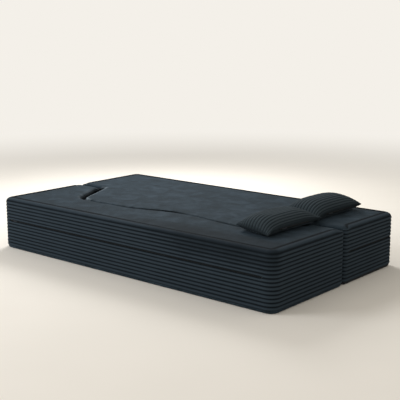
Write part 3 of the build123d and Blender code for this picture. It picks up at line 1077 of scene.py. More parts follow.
@dataclass
class PlainBand:
    """A smooth cloth band on the faces that the other block hides while the bed is flat."""

    name: str
    block: str
    outline: Outline
    seed: float
    spacing: float = 0.012
    rows: int = 18
    edge: float = 0.0018
    slack: float = 0.0016
    # Painted shade: this low rise gives the band the corduroy's dark groove colour, for the shade inside the gap
    rise: float = 0.10

    def section(self, station: Station) -> list[SectionPoint]:
        """Give the band's closed section, rounded at its two seams.

        Args:
            station: where the section stands.

        Returns:
            The section's points.
        """
        low, high, inner = PLAN.rim_height, PLAN.top_seam_z, -PLAN.skin_inset
        points = [(inner, low, 0.0), (-self.edge, low, 0.0)]
        for row in range(self.rows + 1):
            share = row / self.rows
            z = low + self.edge + (high - low - 2 * self.edge) * share
            sag = math.sin(math.pi * share) ** 0.5
            wave = swell(station.x * 6 + self.seed, station.y * 6, z * 5)
            points.append((-self.slack * sag * wave, z, self.rise))
        return [*points, (-self.edge, high, 0.0), (inner, high, 0.0), (inner, (low + high) / 2, 0.0)]

    def build(self) -> None:
        """Build the band and hang it on its block."""
        piece = swept_piece(f"{self.name}_cover", self.outline.stations(Reach.INNER, self.spacing), self.section)
        Fitting(self.name, self.block, CORDUROY, "corduroy", 0.8).put(piece)


@dataclass
class PlushTop:
    """The smooth plush top of a block, softly crowned, rolled down at its outer edges."""

    name: str
    block: str
    outline: Outline
    foams: tuple[str, ...]
    seed: float
    crease_dip: float
    painted_highlight_level: float
    voxel: float = 0.007
    wall: float = 0.003
    sink: float = 0.0026
    small_sink: float = 0.0010
    foot_drop: float = 0.0012
    least_rise: float = 0.0008
    head_room: float = 0.0002
    # Sinking, creasing and the painted highlight set in from a height above the top seam, each over a rise
    sink_rise: tuple[float, float] = (0.003, 0.010)
    crease_rise: tuple[float, float] = (0.001, 0.005)
    highlight_rise: tuple[float, float] = (0.0, 0.010)
    # The seam along the tongue, past which the blocks part in a straight line
    seam_spacing: float = 0.010
    root_margin: float = 0.03
    seam_reach: float = 0.028
    corner_reach: float = 0.060
    corner_dip: float = 0.010
    crease_least: float = 0.22
    # Places along the bed where the cloth gives way more beside the crease, with their reach and share
    crease_bulges: tuple = ((-0.01, 0.12, 0.78), (-0.20, 0.11, 0.30), (0.44, 0.13, 0.38))
    # Painted shade where the plush hangs this far below the flat top, within a reach of the crease
    crease_shade_drop: tuple[float, float] = (0.0028, 0.004)
    crease_shade_reach: float = 0.019
    crease_shade_fade: float = 0.006
    # Left of here the edge along the gap is free: it gets more painted highlight and less painted shade
    free_x: float = -0.52
    highlight_reach: float = 0.016
    highlight_elsewhere: float = 0.20
    crease_shade_when_free: float = 0.20
    # The plush is tucked under the roll over this length, where the roll is wide enough
    tuck: float = 0.0045
    tuck_length: float = 0.010
    tuck_hidden: float = 0.016
    # Painted shade in the seam under the roll: its strength, how far it reaches past the roll, and its fade
    seam_shade: float = 0.9
    seam_width: float = 0.022
    seam_fade: float = 0.007
    roll_spacing: float = 0.006
    # Painted shade towards the near right corner: it grows to the right and towards the near edge
    right_shade_share: float = 0.60
    right_shade_y: float = -0.37
    right_shade_slope: float = 0.04
    right_shade_reach: float = 0.10
    right_shade_from_x: float = -0.15
    right_shade_length: float = 0.4

    def crease_weight(self, x: np.ndarray) -> np.ndarray:
        """Give how much the cloth gives way beside the crease: most in its middle.

        Args:
            x: places along the bed.

        Returns:
            A share for each place.
        """
        weight = self.crease_least + 0 * x
        for middle, reach, share in self.crease_bulges:
            weight = weight + share * np.exp(-((x - middle) / reach) ** 2)
        return np.minimum(1, weight)

    def near_corner_shade(self, x: np.ndarray, y: np.ndarray) -> np.ndarray:
        """Give how much painted shade darkens the top towards the near right corner.

        Args:
            x: places along the bed.
            y: places across it.

        Returns:
            A share for each place.
        """
        along = share_of(x, self.right_shade_from_x, self.right_shade_length)
        inwards = share_of(self.right_shade_y + self.right_shade_slope * along - y, 0.0, self.right_shade_reach)
        return self.right_shade_share * along * eased(inwards)

    def beside_roll(self, points: np.ndarray) -> tuple[np.ndarray, np.ndarray]:
        """Measure the top against the wide last rib.

        Args:
            points: the top's points.

        Returns:
            How far each lies from the outer sides, and how far in the rib reaches there.
        """
        apart = np.full(len(points), np.inf)
        reach = np.zeros(len(points))
        for station in self.outline.stations(Reach.OUTER, self.roll_spacing):
            this = np.hypot(points[:, 0] - station.x, points[:, 1] - station.y)
            nearer = this < apart
            apart[nearer] = this[nearer]
            reach[nearer] = PLAN.roll_reach(station)
        return apart, reach

    def settled(self, points: np.ndarray) -> tuple[np.ndarray, np.ndarray, np.ndarray]:
        """Let the plush sink a little between its seams, and more along the crease and at the parting's ends, and
        work out its painted highlight and shade.

        Args:
            points: the top's points.

        Returns:
            Their new heights, the painted highlight at each, and the painted shade in the crease, in the seam under
            the roll and towards the near right corner.
        """
        x, y, z = points.T
        above = z - PLAN.top_seam_z
        inner = np.array([(s.x, s.y) for s in self.outline.stations(Reach.INNER, self.seam_spacing)])
        inside = np.abs(inner[:, 0]) < PLAN.half_length - PLAN.tongue_root_inset + self.root_margin
        apart = np.min([np.hypot(x - px, y - py) for px, py in inner[inside]], axis=0)
        broad = np.array([swell(a * 2.6 + self.seed, b * 2.6) for a, b in zip(x, y)])
        small = np.array([swell(a * 11 + self.seed, b * 11, 4.0) for a, b in zip(x, y)])
        pucker = np.array([swell(a * 37, b * 37, self.seed) for a, b in zip(x, y)])

        corner = np.hypot(np.abs(x) - PLAN.half_length, y - PLAN.parting_y)
        rounded = np.clip(1 - corner / self.corner_reach, 0, 1) ** 1.5
        drop = self.sink * broad + self.small_sink * small + rounded * self.corner_dip
        drop *= share_of(above, *self.sink_rise)
        beside = np.clip(1 - apart / self.seam_reach, 0, 1) ** 2
        drop += (beside * self.crease_dip * self.crease_weight(x) * (0.55 + 0.9 * pucker * small)
                 * share_of(above, *self.crease_rise))
        side, reach = self.beside_roll(points)
        rolled = share_of(reach, self.tuck_length, self.tuck_length)
        drop += self.tuck * rolled * eased(share_of(reach - side, -self.tuck_length, self.tuck_length))
        low = np.minimum(z, PLAN.top_seam_z + self.least_rise)
        new_z = np.maximum(low, np.minimum(PLAN.height - self.head_room, z - drop))

        free = x < self.free_x
        # Painted highlight along the edge of the gap, strongest where the edge is free
        edge = np.clip(1.6 - apart / self.highlight_reach, 0, 1) * share_of(above, *self.highlight_rise)
        painted_highlight = self.painted_highlight_level * edge * np.where(free, 1.0, self.highlight_elsewhere) * (0.3 + 1.3 * pucker)
        # Painted shade where the plush hangs down into the crease
        painted_shade_share = (share_of(PLAN.height - new_z, *self.crease_shade_drop)
                  * share_of(self.crease_shade_reach - apart, 0.0, self.crease_shade_fade)
                  * np.where(free, self.crease_shade_when_free, self.crease_weight(x)))
        # Painted shade in the seam where the plush runs under the wide last rib
        seam = self.seam_shade * rolled * share_of(reach + self.seam_width - side, 0.0, self.seam_fade)
        return new_z, painted_highlight, np.maximum(np.maximum(seam, painted_shade_share), self.near_corner_shade(x, y))

    def build(self) -> None:
        """Build the top from the foam's and panel's own form and hang it on its block."""
        piece = softened_copy(f"{self.name}_cover", (self.name, *self.foams), self.voxel, 5)
        with shape_of(piece) as shape:
            everything = shape.verts[:] + shape.edges[:] + shape.faces[:]
            foot = (0, 0, PLAN.top_seam_z - self.foot_drop)
            bmesh.ops.bisect_plane(shape, geom=everything, dist=0.00001, plane_co=foot, plane_no=(0, 0, 1),
                                   clear_inner=True)
            side, reach = self.beside_roll(np.array([vertex.co for vertex in shape.verts], float))
            hidden = side < reach - self.tuck_hidden
            covered = [vertex for vertex, is_hidden in zip(shape.verts, hidden) if is_hidden]
            bmesh.ops.delete(shape, geom=covered, context="VERTS")
        points = points_of(piece)
        points[:, 2], painted_highlight, painted_shade_share = self.settled(points)
        set_points(piece, points)
        add_layer(piece.data, "edge_painted_highlight", painted_highlight)
        add_layer(piece.data, "painted_shade", painted_shade_share)
        apply_modifier(piece, "SOLIDIFY", {"thickness": self.wall, "offset": -1.0, "use_even_offset": True})
        piece.data.shade_smooth()
        Fitting(self.name, self.block, PLUSH, "plush", 0.9).put(piece)


@dataclass
class BasePan:
    """The shallow cloth pan under a block, with a rolled rim."""

    name: str
    block: str
    outline: Outline
    finish: Finish
    slot: str
    wall: float = 0.003
    rim_steps: int = 5
    spacing: float = 0.012

    def rim(self, inset_low: float, z_low: float, inset_high: float) -> list[tuple[float, float]]:
        """Give one side of the rolled rim, from the foot up.

        Args:
            inset_low: how far inside the outline its foot lies.
            z_low: the height of its foot.
            inset_high: how far inside the outline its head lies.

        Returns:
            Distances outside the outline, and heights.
        """
        points = []
        for step in range(self.rim_steps + 1):
            turn = math.pi / 2 * step / self.rim_steps
            out = -inset_low + (inset_low - inset_high) * math.sin(turn)
            points.append((out, z_low + (PLAN.rim_height - z_low) * (1 - math.cos(turn))))
        return points

    def build(self) -> None:
        """Build the pan and hang it on its block."""
        stations = self.outline.stations(Reach.WHOLE, self.spacing)
        outer = self.rim(PLAN.rim_inset, 0.0, PLAN.rib_depth)
        inner = self.rim(PLAN.rim_inset + self.wall, self.wall, PLAN.skin_inset)
        rings = outer + inner[::-1]
        points = [station.point(out, z) for station in stations for out, z in rings]
        size, count = len(rings), len(stations)
        faces = []
        for i in range(count):
            a, b = i * size, (i + 1) % count * size
            faces += [(a + j, b + j, b + j + 1, a + j + 1) for j in range(size - 1)]
        faces.append(tuple(i * size for i in reversed(range(count))))
        faces.append(tuple(i * size + size - 1 for i in range(count)))
        piece = new_mesh_piece(f"{self.name}_cover", points, faces)
        with shape_of(piece) as shape:
            wide = [face for face in shape.faces if len(face.verts) > 4]
            bmesh.ops.triangulate(shape, faces=wide)
        for face in piece.data.polygons:
            face.use_smooth = abs(face.normal.z) < 0.999
        Fitting(self.name, self.block, self.finish, self.slot, 0.7).put(piece)


@dataclass
class FoamCore:
    """A cut foam piece inside a cover, its sharp edges a little eased."""

    node: str
    block: str
    finish: Finish
    slot: str
    voxel: float = 0.012
    ease: float = 0.0012
    # The foam stands this far below the tops, clear of the plush where it sinks and is tucked in
    top_room: float = 0.011

    def build(self) -> None:
        """Build the core from its CAD form and hang it on its block."""
        piece = softened_copy(f"{self.node}_core", (self.node,), self.voxel, 3)
        low, high = (np.array(Vector(corner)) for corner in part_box(self.node))
        points = np.clip(points_of(piece), low + self.ease, high - self.ease)
        points[:, 2] = np.minimum(points[:, 2], PLAN.height - self.top_room)
        set_points(piece, points)
        piece.data.shade_smooth()
        Fitting(self.node, self.block, self.finish, self.slot, 0.95).put(piece)


# Zips

@dataclass
class ZipRun:
    """A zip's tape and closed coil, which follow a block's outline at the foot of its slot."""

    block: str
    side: str
    tape_stations: list[Station]
    coil_stations: list[Station]
    height: float
    tape_half: float = 0.0035
    tape_wall: float = 0.001
    selvedge: float = 0.0005
    selvedge_drop: float = 0.0003
    coil_half: float = 0.0022
    coil_wall: float = 0.002
    coil_clearance: float = 0.0001
    coil_angles: tuple[float, ...] = (0.0, 0.5, 1.05, 1.57, 2.09, 2.64, math.pi)
    turn_pitch: float = 0.0036

    def tape_section(self, station: Station) -> list[SectionPoint]:
        """Give the flat tape's section, with its rounded selvedges, the same at every station.

        Args:
            station: where the section stands.

        Returns:
            The section's points.
        """
        back, face = -PLAN.skin_inset, -PLAN.skin_inset + self.tape_wall
        low, high = self.height - self.tape_half, self.height + self.tape_half
        shy = face - self.selvedge_drop
        return [(back, low, 0), (shy, low, 0), (face, low + self.selvedge, 0),
                (face, high - self.selvedge, 0), (shy, high, 0), (back, high, 0)]

    def coil_section(self, station: Station) -> list[SectionPoint]:
        """Give the coil's section, full on each turn and drawn in between turns.

        Args:
            station: where the section stands.

        Returns:
            The section's points.
        """
        turn = 0.5 + 0.5 * math.cos(2 * math.pi * station.along / self.turn_pitch)
        base = -PLAN.skin_inset + self.tape_wall + self.coil_clearance
        wall, half = self.coil_wall * (0.55 + 0.42 * turn), self.coil_half * (0.86 + 0.12 * turn)
        return [(base + wall * max(0.0, math.sin(angle)), self.height - half * math.cos(angle), 0)
                for angle in self.coil_angles]

    def build(self) -> None:
        """Build the tape and the coil and hang them on their block."""
        tape = swept_piece(f"{self.side}_zip_tape_woven", self.tape_stations, self.tape_section)
        Fitting(f"{self.side}_zip_tape", self.block, ZIP_TAPE, "zip_tape").put(tape)
        coil = swept_piece(f"{self.side}_zip_coil_turns", self.coil_stations, self.coil_section)
        Fitting(f"{self.side}_zip_coil", self.block, NYLON, "zip_coil").put(coil)


@dataclass
class ZipEnd:
    """A zip's slider and its puller, in a frame whose X runs along the zip and whose Z points out of it."""

    owner: str
    place: Matrix
    plate_base: float = 0.0033
    plate_face: float = 0.0047
    plate_half_long: float = 0.0069
    plate_half_high: float = 0.0031
    nose_taper: float = 0.35
    tail_taper: float = 0.10
    plate_ease: float = 0.0003
    lug_radius: float = 0.0016
    lug_wire: float = 0.00045
    lug_foot: float = 0.0004
    lug_top: float = 0.0079
    lug_arch: float = 2.0
    lug_broad: float = 1.3
    bar_reach: float = 0.0066
    bar_radius: float = 0.0006
    tab_length: float = 0.0258
    tab_half: float = 0.0025
    tab_half_wall: float = 0.0006
    tab_neck: float = 0.72
    tab_ease: float = 0.00025

    def slider(self) -> bpy.types.Object:
        """Shape the slider: a waisted plate with eased edges and an arched lug over the puller's bar.

        Returns:
            The slider, in its own frame.
        """
        size = (2 * self.plate_half_long, 2 * self.plate_half_high, self.plate_face - self.plate_base)
        piece = divided_box(f"{self.owner}_zip_slider_body", (self.plate_base + self.plate_face) / 2, size, 4)
        for vertex in piece.data.vertices:
            share = abs(vertex.co.x) / self.plate_half_long
            if vertex.co.x > 0:
                vertex.co.y *= 1 - self.nose_taper * share ** 2
            else:
                vertex.co.y *= 1 - self.tail_taper * share ** 3
        apply_modifier(piece, "BEVEL", {"width": self.plate_ease, "segments": 2, "limit_method": "ANGLE"})
        deselect_all()
        bpy.ops.mesh.primitive_torus_add(
            location=(0, 0, self.bar_reach - self.bar_radius), rotation=(math.pi / 2, 0, 0), major_segments=24,
            minor_segments=8, major_radius=self.lug_radius, minor_radius=self.lug_wire)
        lug = bpy.context.object
        lug.scale = (1.0, 1.0, self.lug_arch)
        bpy.ops.object.transform_apply(location=True, rotation=True, scale=True)
        for vertex in lug.data.vertices:
            vertex.co.y *= self.lug_broad
            vertex.co.z = min(max(vertex.co.z, self.plate_face - self.lug_foot), self.lug_top)
        make_active(piece)
        lug.select_set(True)
        bpy.ops.object.join()
        piece.data.shade_smooth()
        return piece

    def puller(self) -> bpy.types.Object:
        """Shape the puller: a flat tab with a narrow neck and a rounded end.

        Returns:
            The puller, in the same frame.
        """
        piece = divided_box(f"{self.owner}_zip_puller_tab", self.bar_reach, (1, 1, 2 * self.tab_half_wall), 10)
        for vertex in piece.data.vertices:
            along, across = vertex.co.x + 0.5, vertex.co.y * 2
            swelling = math.sin(math.pi * min(1.0, along * 0.62)) ** 0.7
            width = self.tab_half * (self.tab_neck + (1 - self.tab_neck) * swelling)
            end = math.sqrt(max(0.0, 1 - max(0.0, (along - 0.9) / 0.1) ** 2 * 0.75))
            vertex.co.x = along * self.tab_length
            vertex.co.y = across * width * end
        face_outwards(piece)
        apply_modifier(piece, "BEVEL", {"width": self.tab_ease, "segments": 2, "limit_method": "ANGLE"})
        piece.data.shade_smooth()
        return piece

    def build(self) -> list[bpy.types.Object]:
        """Build both pieces, set them in place, and hang them on their bodies.

        Returns:
            The slider and the puller.
        """
        made = []
        for piece, node in ((self.slider(), f"{self.owner}_zip_slider"), (self.puller(), f"{self.owner}_zip_puller")):
            piece.data.transform(self.place)
            face_outwards(piece)
            made.append(Fitting(node, node, ZINC, "zip_metal").put(piece))
        return made


# Hinge

@dataclass
class HingeTape:
    """A woven tape sewn to both blocks' faces, its bend at the top of the gap, under the hinge line."""

    side: str
    middle_x: float
    length: float = 0.100
    drop: float = 0.017
    half_gap: float = 0.0032
    wall: float = 0.001
    steps: int = 14
    columns: int = 13

    def line(self) -> list[tuple[float, float]]:
        """Give the loop in cross-section, up one face and down the other, from the middle of the gap.

        Returns:
            Distances from the middle of the gap, and heights.
        """
        top = PLAN.top_seam_z - self.half_gap
        low = top - self.drop
        line = [(self.half_gap, low + self.drop * k / self.steps) for k in range(self.steps)]
        for k in range(self.steps + 1):
            turn = math.pi * k / self.steps
            line.append((self.half_gap * math.cos(turn), top + self.half_gap * math.sin(turn)))
        return line + [(-self.half_gap, top - self.drop * (k + 1) / self.steps) for k in range(self.steps)]

    def build(self) -> None:
        """Build the tape's loop."""
        line = self.line()
        size = len(line)
        points, faces = [], []
        for column in range(self.columns):
            x = self.middle_x + self.length * (column / (self.columns - 1) - 0.5)
            points += [(x, PLAN.parting_y + y, z) for y, z in line]
        for column in range(self.columns - 1):
            for a in range(column * size, (column + 1) * size - 1):
                faces.append((a, a + 1, a + size + 1, a + size))
        piece = new_mesh_piece(f"{self.side}_hinge_tape_loop", points, faces)
        apply_modifier(piece, "SOLIDIFY", {"thickness": self.wall, "offset": 0.0})
        piece.data.shade_smooth()
        wear_finish(piece, HINGE_CLOTH)
        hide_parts(f"{self.side}_hinge_tape")
        flat = sum(math.dist(start, end) for start, end in zip(line, line[1:]))
        self.length
        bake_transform(piece)
        log.info("%s: flat length %.4f", piece.name, flat)


# Pillows

@dataclass
class Pillow:
    """A loose pillow: two ribbed faces sewn at a knife edge, over wadding, with a zip in one long edge."""

    side: str
    x: float
    y: float
    turn: float
    seed: float
    # For each corner, its side across (-1 or 1) and along, and how far it is pulled from its place
    corner_moves: tuple = ()
    width: float = 0.240
    length: float = 0.410
    crown: float = 0.076
    belly: float = 0.024
    side_draw: float = 0.06
    end_draw: float = 0.035
    end_power: float = 3.5
    crown_power: float = 0.46
    crown_fullness: float = 1.08
    belly_fullness: float = 1.9
    ribs: int = 16
    rib_depth: float = 0.0032
    crumple: float = 0.0011
    across: int = 48
    along: int = 48
    # The grid is closer at the seam: its lines stand at the sines of angles up to this many degrees
    grid_bow: float = 78.0
    lie_z: float = 0.2903
    wall: float = 0.0025
    loft: float = 0.82
    pressure: float = 4.0
    stuffing_frames: int = 20
    # No point moves further than this while the pillow is stuffed
    cap: float = 0.006
    filling_share: tuple[float, float, float] = (0.93, 0.95, 0.86)
    zip_half: float = 0.115
    zip_sink: float = 0.0005
    zip_rings: int = 256
    zip_angles: tuple[float, ...] = (0.0, 0.6, 1.2, 1.94, 2.54, math.pi)

    @property
    def body(self) -> str:
        """The body that all the pillow's soft pieces ride on."""
        return f"{self.side}_pillow"

    @property
    def place(self) -> Matrix:
        """The pillow's place: its seam plane's middle, turned on the bed."""
        spot = Vector((self.x, self.y, self.lie_z + self.belly))
        return Matrix.Translation(spot) @ Matrix.Rotation(math.radians(self.turn), 4, "Z")

    def grid(self, height: float, fullness: float) -> np.ndarray:
        """Give one face of the pillow before it is stuffed.

        Args:
            height: how far its middle stands from the seam plane.
            fullness: how soon it reaches that height from the seam.

        Returns:
            Points by their number across and along.
        """
        bow = math.radians(self.grid_bow)
        t = np.linspace(-1, 1, self.across + 1)[:, None]
        s = np.linspace(-1, 1, self.along + 1)[None, :]
        u = np.sin(t * bow) / math.sin(bow)
        v = np.sin(s * bow) / math.sin(bow)
        crown = np.clip((1 - u ** 2) * (1 - np.abs(v) ** self.end_power), 0, 1) ** self.crown_power
        rise = height * np.minimum(1, crown * fullness)
        x = self.width / 2 * (1 - self.side_draw * (1 - v ** 6)) * u
        y = self.length / 2 * (1 - self.end_draw * (1 - u ** 2)) * v
        points = np.stack([x + 0 * y, y + 0 * x, rise + 0 * x], axis=-1)
        for way_u, way_v, move in self.corner_moves:
            # The zip's edge stays straight, so its corners move near their ends only
            power = 8 if way_u > 0 else 2.2
            near = ((1 + way_u * u) / 2) ** 2.2 * ((1 + way_v * v) / 2) ** power
            points += near[..., None] * np.array(move)
        return points

    def closed_mesh(self, name: str, upper: np.ndarray, lower: np.ndarray) -> tuple[bpy.types.Object, np.ndarray]:
        """Sew two faces along their rim into one closed mesh.

        Args:
            name: the piece's name.
            upper: the upper face's points.
            lower: the lower face's points.

        Returns:
            The closed mesh, whose upper points come first, and the numbers of the lower face's points.
        """
        rows, columns = upper.shape[:2]
        numbers = np.arange(rows * columns).reshape(rows, columns)
        under = numbers.copy()
        inner = (rows - 2) * (columns - 2)
        under[1:-1, 1:-1] = rows * columns + np.arange(inner).reshape(rows - 2, columns - 2)
        points = [*upper.reshape(-1, 3), *lower[1:-1, 1:-1].reshape(-1, 3)]
        faces = []
        for i in range(rows - 1):
            for j in range(columns - 1):
                faces.append((numbers[i, j], numbers[i + 1, j], numbers[i + 1, j + 1], numbers[i, j + 1]))
                faces.append((under[i, j], under[i, j + 1], under[i + 1, j + 1], under[i + 1, j]))
        return new_mesh_piece(name, points, [tuple(map(int, face)) for face in faces]), under

    def stuffed(self) -> tuple[np.ndarray, np.ndarray]:
        """Stuff the pillow by a cloth simulation with pressure, its seam held.

        Returns:
            The upper and lower faces' points.
        """
        upper = self.grid(self.crown * self.loft, self.crown_fullness)
        lower = self.grid(-self.belly, self.belly_fullness)
        piece, under = self.closed_mesh(f"{self.body}_stuffing", upper, lower)
        rows, columns = upper.shape[:2]
        rim = [int(i * columns + j) for i in range(rows) for j in range(columns)
               if i in (0, rows - 1) or j in (0, columns - 1)]
        piece.vertex_groups.new(name="seam").add(rim, 1.0, "REPLACE")
        start = points_of(piece)
        cloth = piece.modifiers.new("Cloth", "CLOTH")
        assign(cloth.settings, {
            "use_pressure": True, "uniform_pressure_force": self.pressure, "tension_stiffness": 12.0,
            "compression_stiffness": 6.0, "bending_stiffness": 0.4, "mass": 0.2, "vertex_group_mass": "seam"})
        cloth.settings.effector_weights.gravity = 0.0
        cloth.collision_settings.use_self_collision = False
        cloth.point_cache.frame_start, cloth.point_cache.frame_end = 1, self.stuffing_frames
        for number in range(1, self.stuffing_frames + 1):
            bpy.context.scene.frame_set(number)
        graph = bpy.context.evaluated_depsgraph_get()
        shaped = piece.evaluated_get(graph).to_mesh()
        move = np.array([vertex.co for vertex in shaped.vertices], float) - start
        bpy.context.scene.frame_set(1)
        far = np.linalg.norm(move, axis=1, keepdims=True)
        final = start + move * np.minimum(1, self.cap / np.maximum(far, 1e-9))
        final[:, 2] = np.clip(final[:, 2], -self.belly + 0.0004, None)
        bpy.data.objects.remove(piece)
        log.info("%s pillow: moved at most %.4f", self.side, far.max())
        return final[:rows * columns].reshape(upper.shape), final[under.ravel()].reshape(upper.shape)

    @staticmethod
    def finer(points: np.ndarray, times: int, axis: int) -> np.ndarray:
        """Divide a face's squares along one axis on a smooth curve.

        Args:
            points: the face's points.
            times: how many new intervals each one gets.
            axis: 0 across the pillow, 1 along it.

        Returns:
            The denser points.
        """
        points = np.moveaxis(points, axis, 0)
        before = np.concatenate([2 * points[:1] - points[1:2], points[:-2]])
        after = np.concatenate([points[2:], 2 * points[-1:] - points[-2:-1]])
        start, end = points[:-1], points[1:]
        rows = []
        for k in range(times):
            t = k / times
            rows.append(0.5 * (2 * start + (end - before) * t + (2 * before - 5 * start + 4 * end - after) * t ** 2
                               + (3 * start - before - 3 * end + after) * t ** 3))
        dense = np.stack(rows, axis=1).reshape(-1, *points.shape[1:])
        return np.moveaxis(np.concatenate([dense, points[-1:]]), 0, axis)

    def ribbed(self, points: np.ndarray, way: int) -> tuple[np.ndarray, np.ndarray]:
        """Raise the ribs on a face, and pucker it along its seam.

        Args:
            points: the smooth face's dense points.
            way: 1 for the upper face, -1 for the lower one.

        Returns:
            The ribbed points, and how high each stands on its rib.
        """
        normal = np.cross(np.gradient(points, axis=0), np.gradient(points, axis=1))
        normal *= way / np.maximum(np.linalg.norm(normal, axis=-1, keepdims=True), 1e-12)
        rows, columns = points.shape[:2]
        t = np.linspace(0, 1, rows)[:, None]
        from_end = 1 - np.abs(np.linspace(-1, 1, columns)[None, :])
        rise = np.sin(np.pi * (t * self.ribs % 1.0)) ** 0.7 + 0 * from_end
        edge = np.minimum(1, (1 - np.abs(2 * t - 1)) * 7) * np.minimum(1, 0.25 + from_end * 9)
        pucker = np.array([[ripple(i * 0.23 + self.seed, j * 0.61, way) for j in range(columns)]
                           for i in range(rows)])
        fold = self.crumple * pucker * (1 - np.minimum(1, from_end * 3.0)) * np.minimum(1, from_end * 30)
        moved = points + normal * (self.rib_depth * edge * (rise - 0.75) + fold)[..., None]
        moved[0], moved[-1], moved[:, 0], moved[:, -1] = points[0], points[-1], points[:, 0], points[:, -1]
        return moved, rise * edge

    def face_piece(self, name: str, points: np.ndarray, rise: np.ndarray, way: int) -> bpy.types.Object:
        """Make one face of the cover as a thin closed shell.

        Args:
            name: the piece's name.
            points: its dense ribbed points.
            rise: how high each stands on its rib.
            way: 1 for the upper face, -1 for the lower one.

        Returns:
            The piece, in its place on the bed.
        """
        rows, columns = points.shape[:2]
        faces = []
        for i in range(rows - 1):
            for a in range(i * columns, (i + 1) * columns - 1):
                b = a + columns
                faces.append((a, b, b + 1, a + 1) if way > 0 else (a, a + 1, b + 1, b))
        piece = new_mesh_piece(name, points.reshape(-1, 3), faces, rise.ravel(), closed=False)
        apply_modifier(piece, "SOLIDIFY", {"thickness": self.wall, "offset": -1.0, "thickness_clamp": 0.5})
        piece.data.transform(self.place)
        piece.data.shade_smooth()
        return piece

    def zip_edge(self) -> list[bpy.types.Object]:
        """Build the zip that is sewn into the pillow's long edge.

        Returns:
            The tape, the coil, the slider and the puller.
        """
        seam_x = self.width / 2 * (1 - self.side_draw) - self.zip_sink
        frame_of_zip = self.place @ Matrix(((0, 0, 1, seam_x), (1, 0, 0, 0), (0, 1, 0, 0), (0, 0, 0, 1)))
        made = []
        for node, label, half_high, base, wall, finish in (
                ("zip_tape", "woven", 0.0032, 0.0, 0.001, ZIP_TAPE),
                ("zip_coil", "turns", 0.0022, 0.0011, 0.0018, NYLON)):
            points = []
            for number, along in enumerate(np.linspace(-self.zip_half, self.zip_half, self.zip_rings + 1)):
                # The coil stands out in pairs of turns, and the tape is even
                full = 1.0 if finish is ZIP_TAPE else 0.62 + 0.36 * (number % 4 in (0, 1))
                for angle in self.zip_angles:
                    high = -half_high * math.cos(angle) * (0.9 + 0.1 * full)
                    points.append((along, high, base + wall * full * min(1.0, 1.3 * max(0.0, math.sin(angle)))))
            faces = tube_faces(self.zip_rings + 1, len(self.zip_angles))
            piece = new_mesh_piece(f"{self.body}_{node}_{label}", points, faces)
            piece.data.transform(frame_of_zip)
            face_outwards(piece)
            made.append(Fitting(f"{self.body}_{node}", self.body, finish, node).put(piece))
        start = Matrix.Translation((PLAN.slider_margin - self.zip_half, 0, 0))
        return made + ZipEnd(self.body, frame_of_zip @ start).build()

    def build(self) -> None:
        """Build the pillow's filling, faces and zip, hang them on its body, and give each its own mesh."""
        upper, lower = self.stuffed()
        made = []
        for label, points, way in (("top_panel", upper, 1), ("bottom_panel", lower, -1)):
            shaped, rise = self.ribbed(self.finer(self.finer(points, 2, 0), 2, 1), way)
            if way < 0:
                shaped[..., 2] = np.maximum(shaped[..., 2], -self.belly + 0.0003)
            piece = self.face_piece(f"{self.body}_{label}_cover", shaped, rise, way)
            fitting = Fitting(f"{self.body}_{label}", self.body, PILLOW_CORDUROY, "pillow_corduroy", 0.7)
            made.append(fitting.put(piece))
        share = np.array(self.filling_share)
        core, _ = self.closed_mesh(f"{self.body}_filling_wadding", upper * share, lower * share)
        core.data.transform(self.place)
        made.append(Fitting(f"{self.body}_filling", self.body, WADDING, "pillow_filling", 0.6).put(core))
        for piece in made + self.zip_edge():
            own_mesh(piece)


# Blocks

def seat_zip_share(station: Station) -> float:
    """Give how open the seat block's zip slot is at a station, from none to all."""
    low = PLAN.seat_front_y + PLAN.parting_radius + PLAN.zip_end_margin
    return min(1.0, max(0.0, (station.y - low) / PLAN.zip_opening + 0.5))


def back_zip_share(station: Station) -> float:
    """Give how open the back block's zip slot is at a station, from none to all.

    Args:
        station: a place on the outer sides.

    Returns:
        A share: all of it on the long side only.
    """
    reach = PLAN.half_length - PLAN.outer_radius - PLAN.zip_end_margin
    if station.y > -PLAN.half_width + 0.010:
        return 0.0
    return min(1.0, max(0.0, (reach - abs(station.x)) / PLAN.zip_opening + 0.5))


@dataclass
class Block:
    """One of the two foam blocks with its cover and zip."""

    name: str
    corners: list[Corner]
    inner_band: str
    foams: tuple[str, ...]
    comfort_foams: tuple[str, ...]
    zip_share: Callable[[Station], float]
    slider_place: Matrix
    base_finish: Finish
    base_slot: str
    seed: float
    crease_dip: float
    # How strong the painted highlight is on the top's free edge
    edge_painted_highlight: float
    upper_ribs: int = 6
    lower_ribs: int = 8

    def build(self) -> None:
        """Build every piece of the block."""
        body, name, seed = f"{self.name}_block", self.name, self.seed
        outline = Outline(self.corners)
        walk = outline.stations(Reach.OUTER, ZipRun.turn_pitch / 4, 2.0)
        open_walk = [station for station in walk if self.zip_share(station) > 0.0]
        coil_walk = [station for station in walk if self.zip_share(station) >= 0.5]
        for part in (
                PlushTop(f"{name}_top_panel", body, outline, self.comfort_foams, seed, self.crease_dip,
                         self.edge_painted_highlight),
                RibbedBand(f"{name}_upper_band", body, outline, PLAN.mid_seam_z, self.upper_ribs,
                           self.zip_share, False, seed + 11, rolled=True),
                RibbedBand(f"{name}_lower_band", body, outline, PLAN.rim_height, self.lower_ribs,
                           self.zip_share, True, seed + 23),
                PlainBand(f"{name}_{self.inner_band}_band", body, outline, seed),
                BasePan(f"{name}_base_panel", body, outline, self.base_finish, self.base_slot),
                *(FoamCore(node, body, SUPPORT_FOAM, "support_foam") for node in self.foams),
                *(FoamCore(node, body, COMFORT_FOAM, "comfort_foam") for node in self.comfort_foams),
                ZipRun(body, name, open_walk, coil_walk, PLAN.mid_seam_z),
                ZipEnd(name, self.slider_place)):
            part.build()


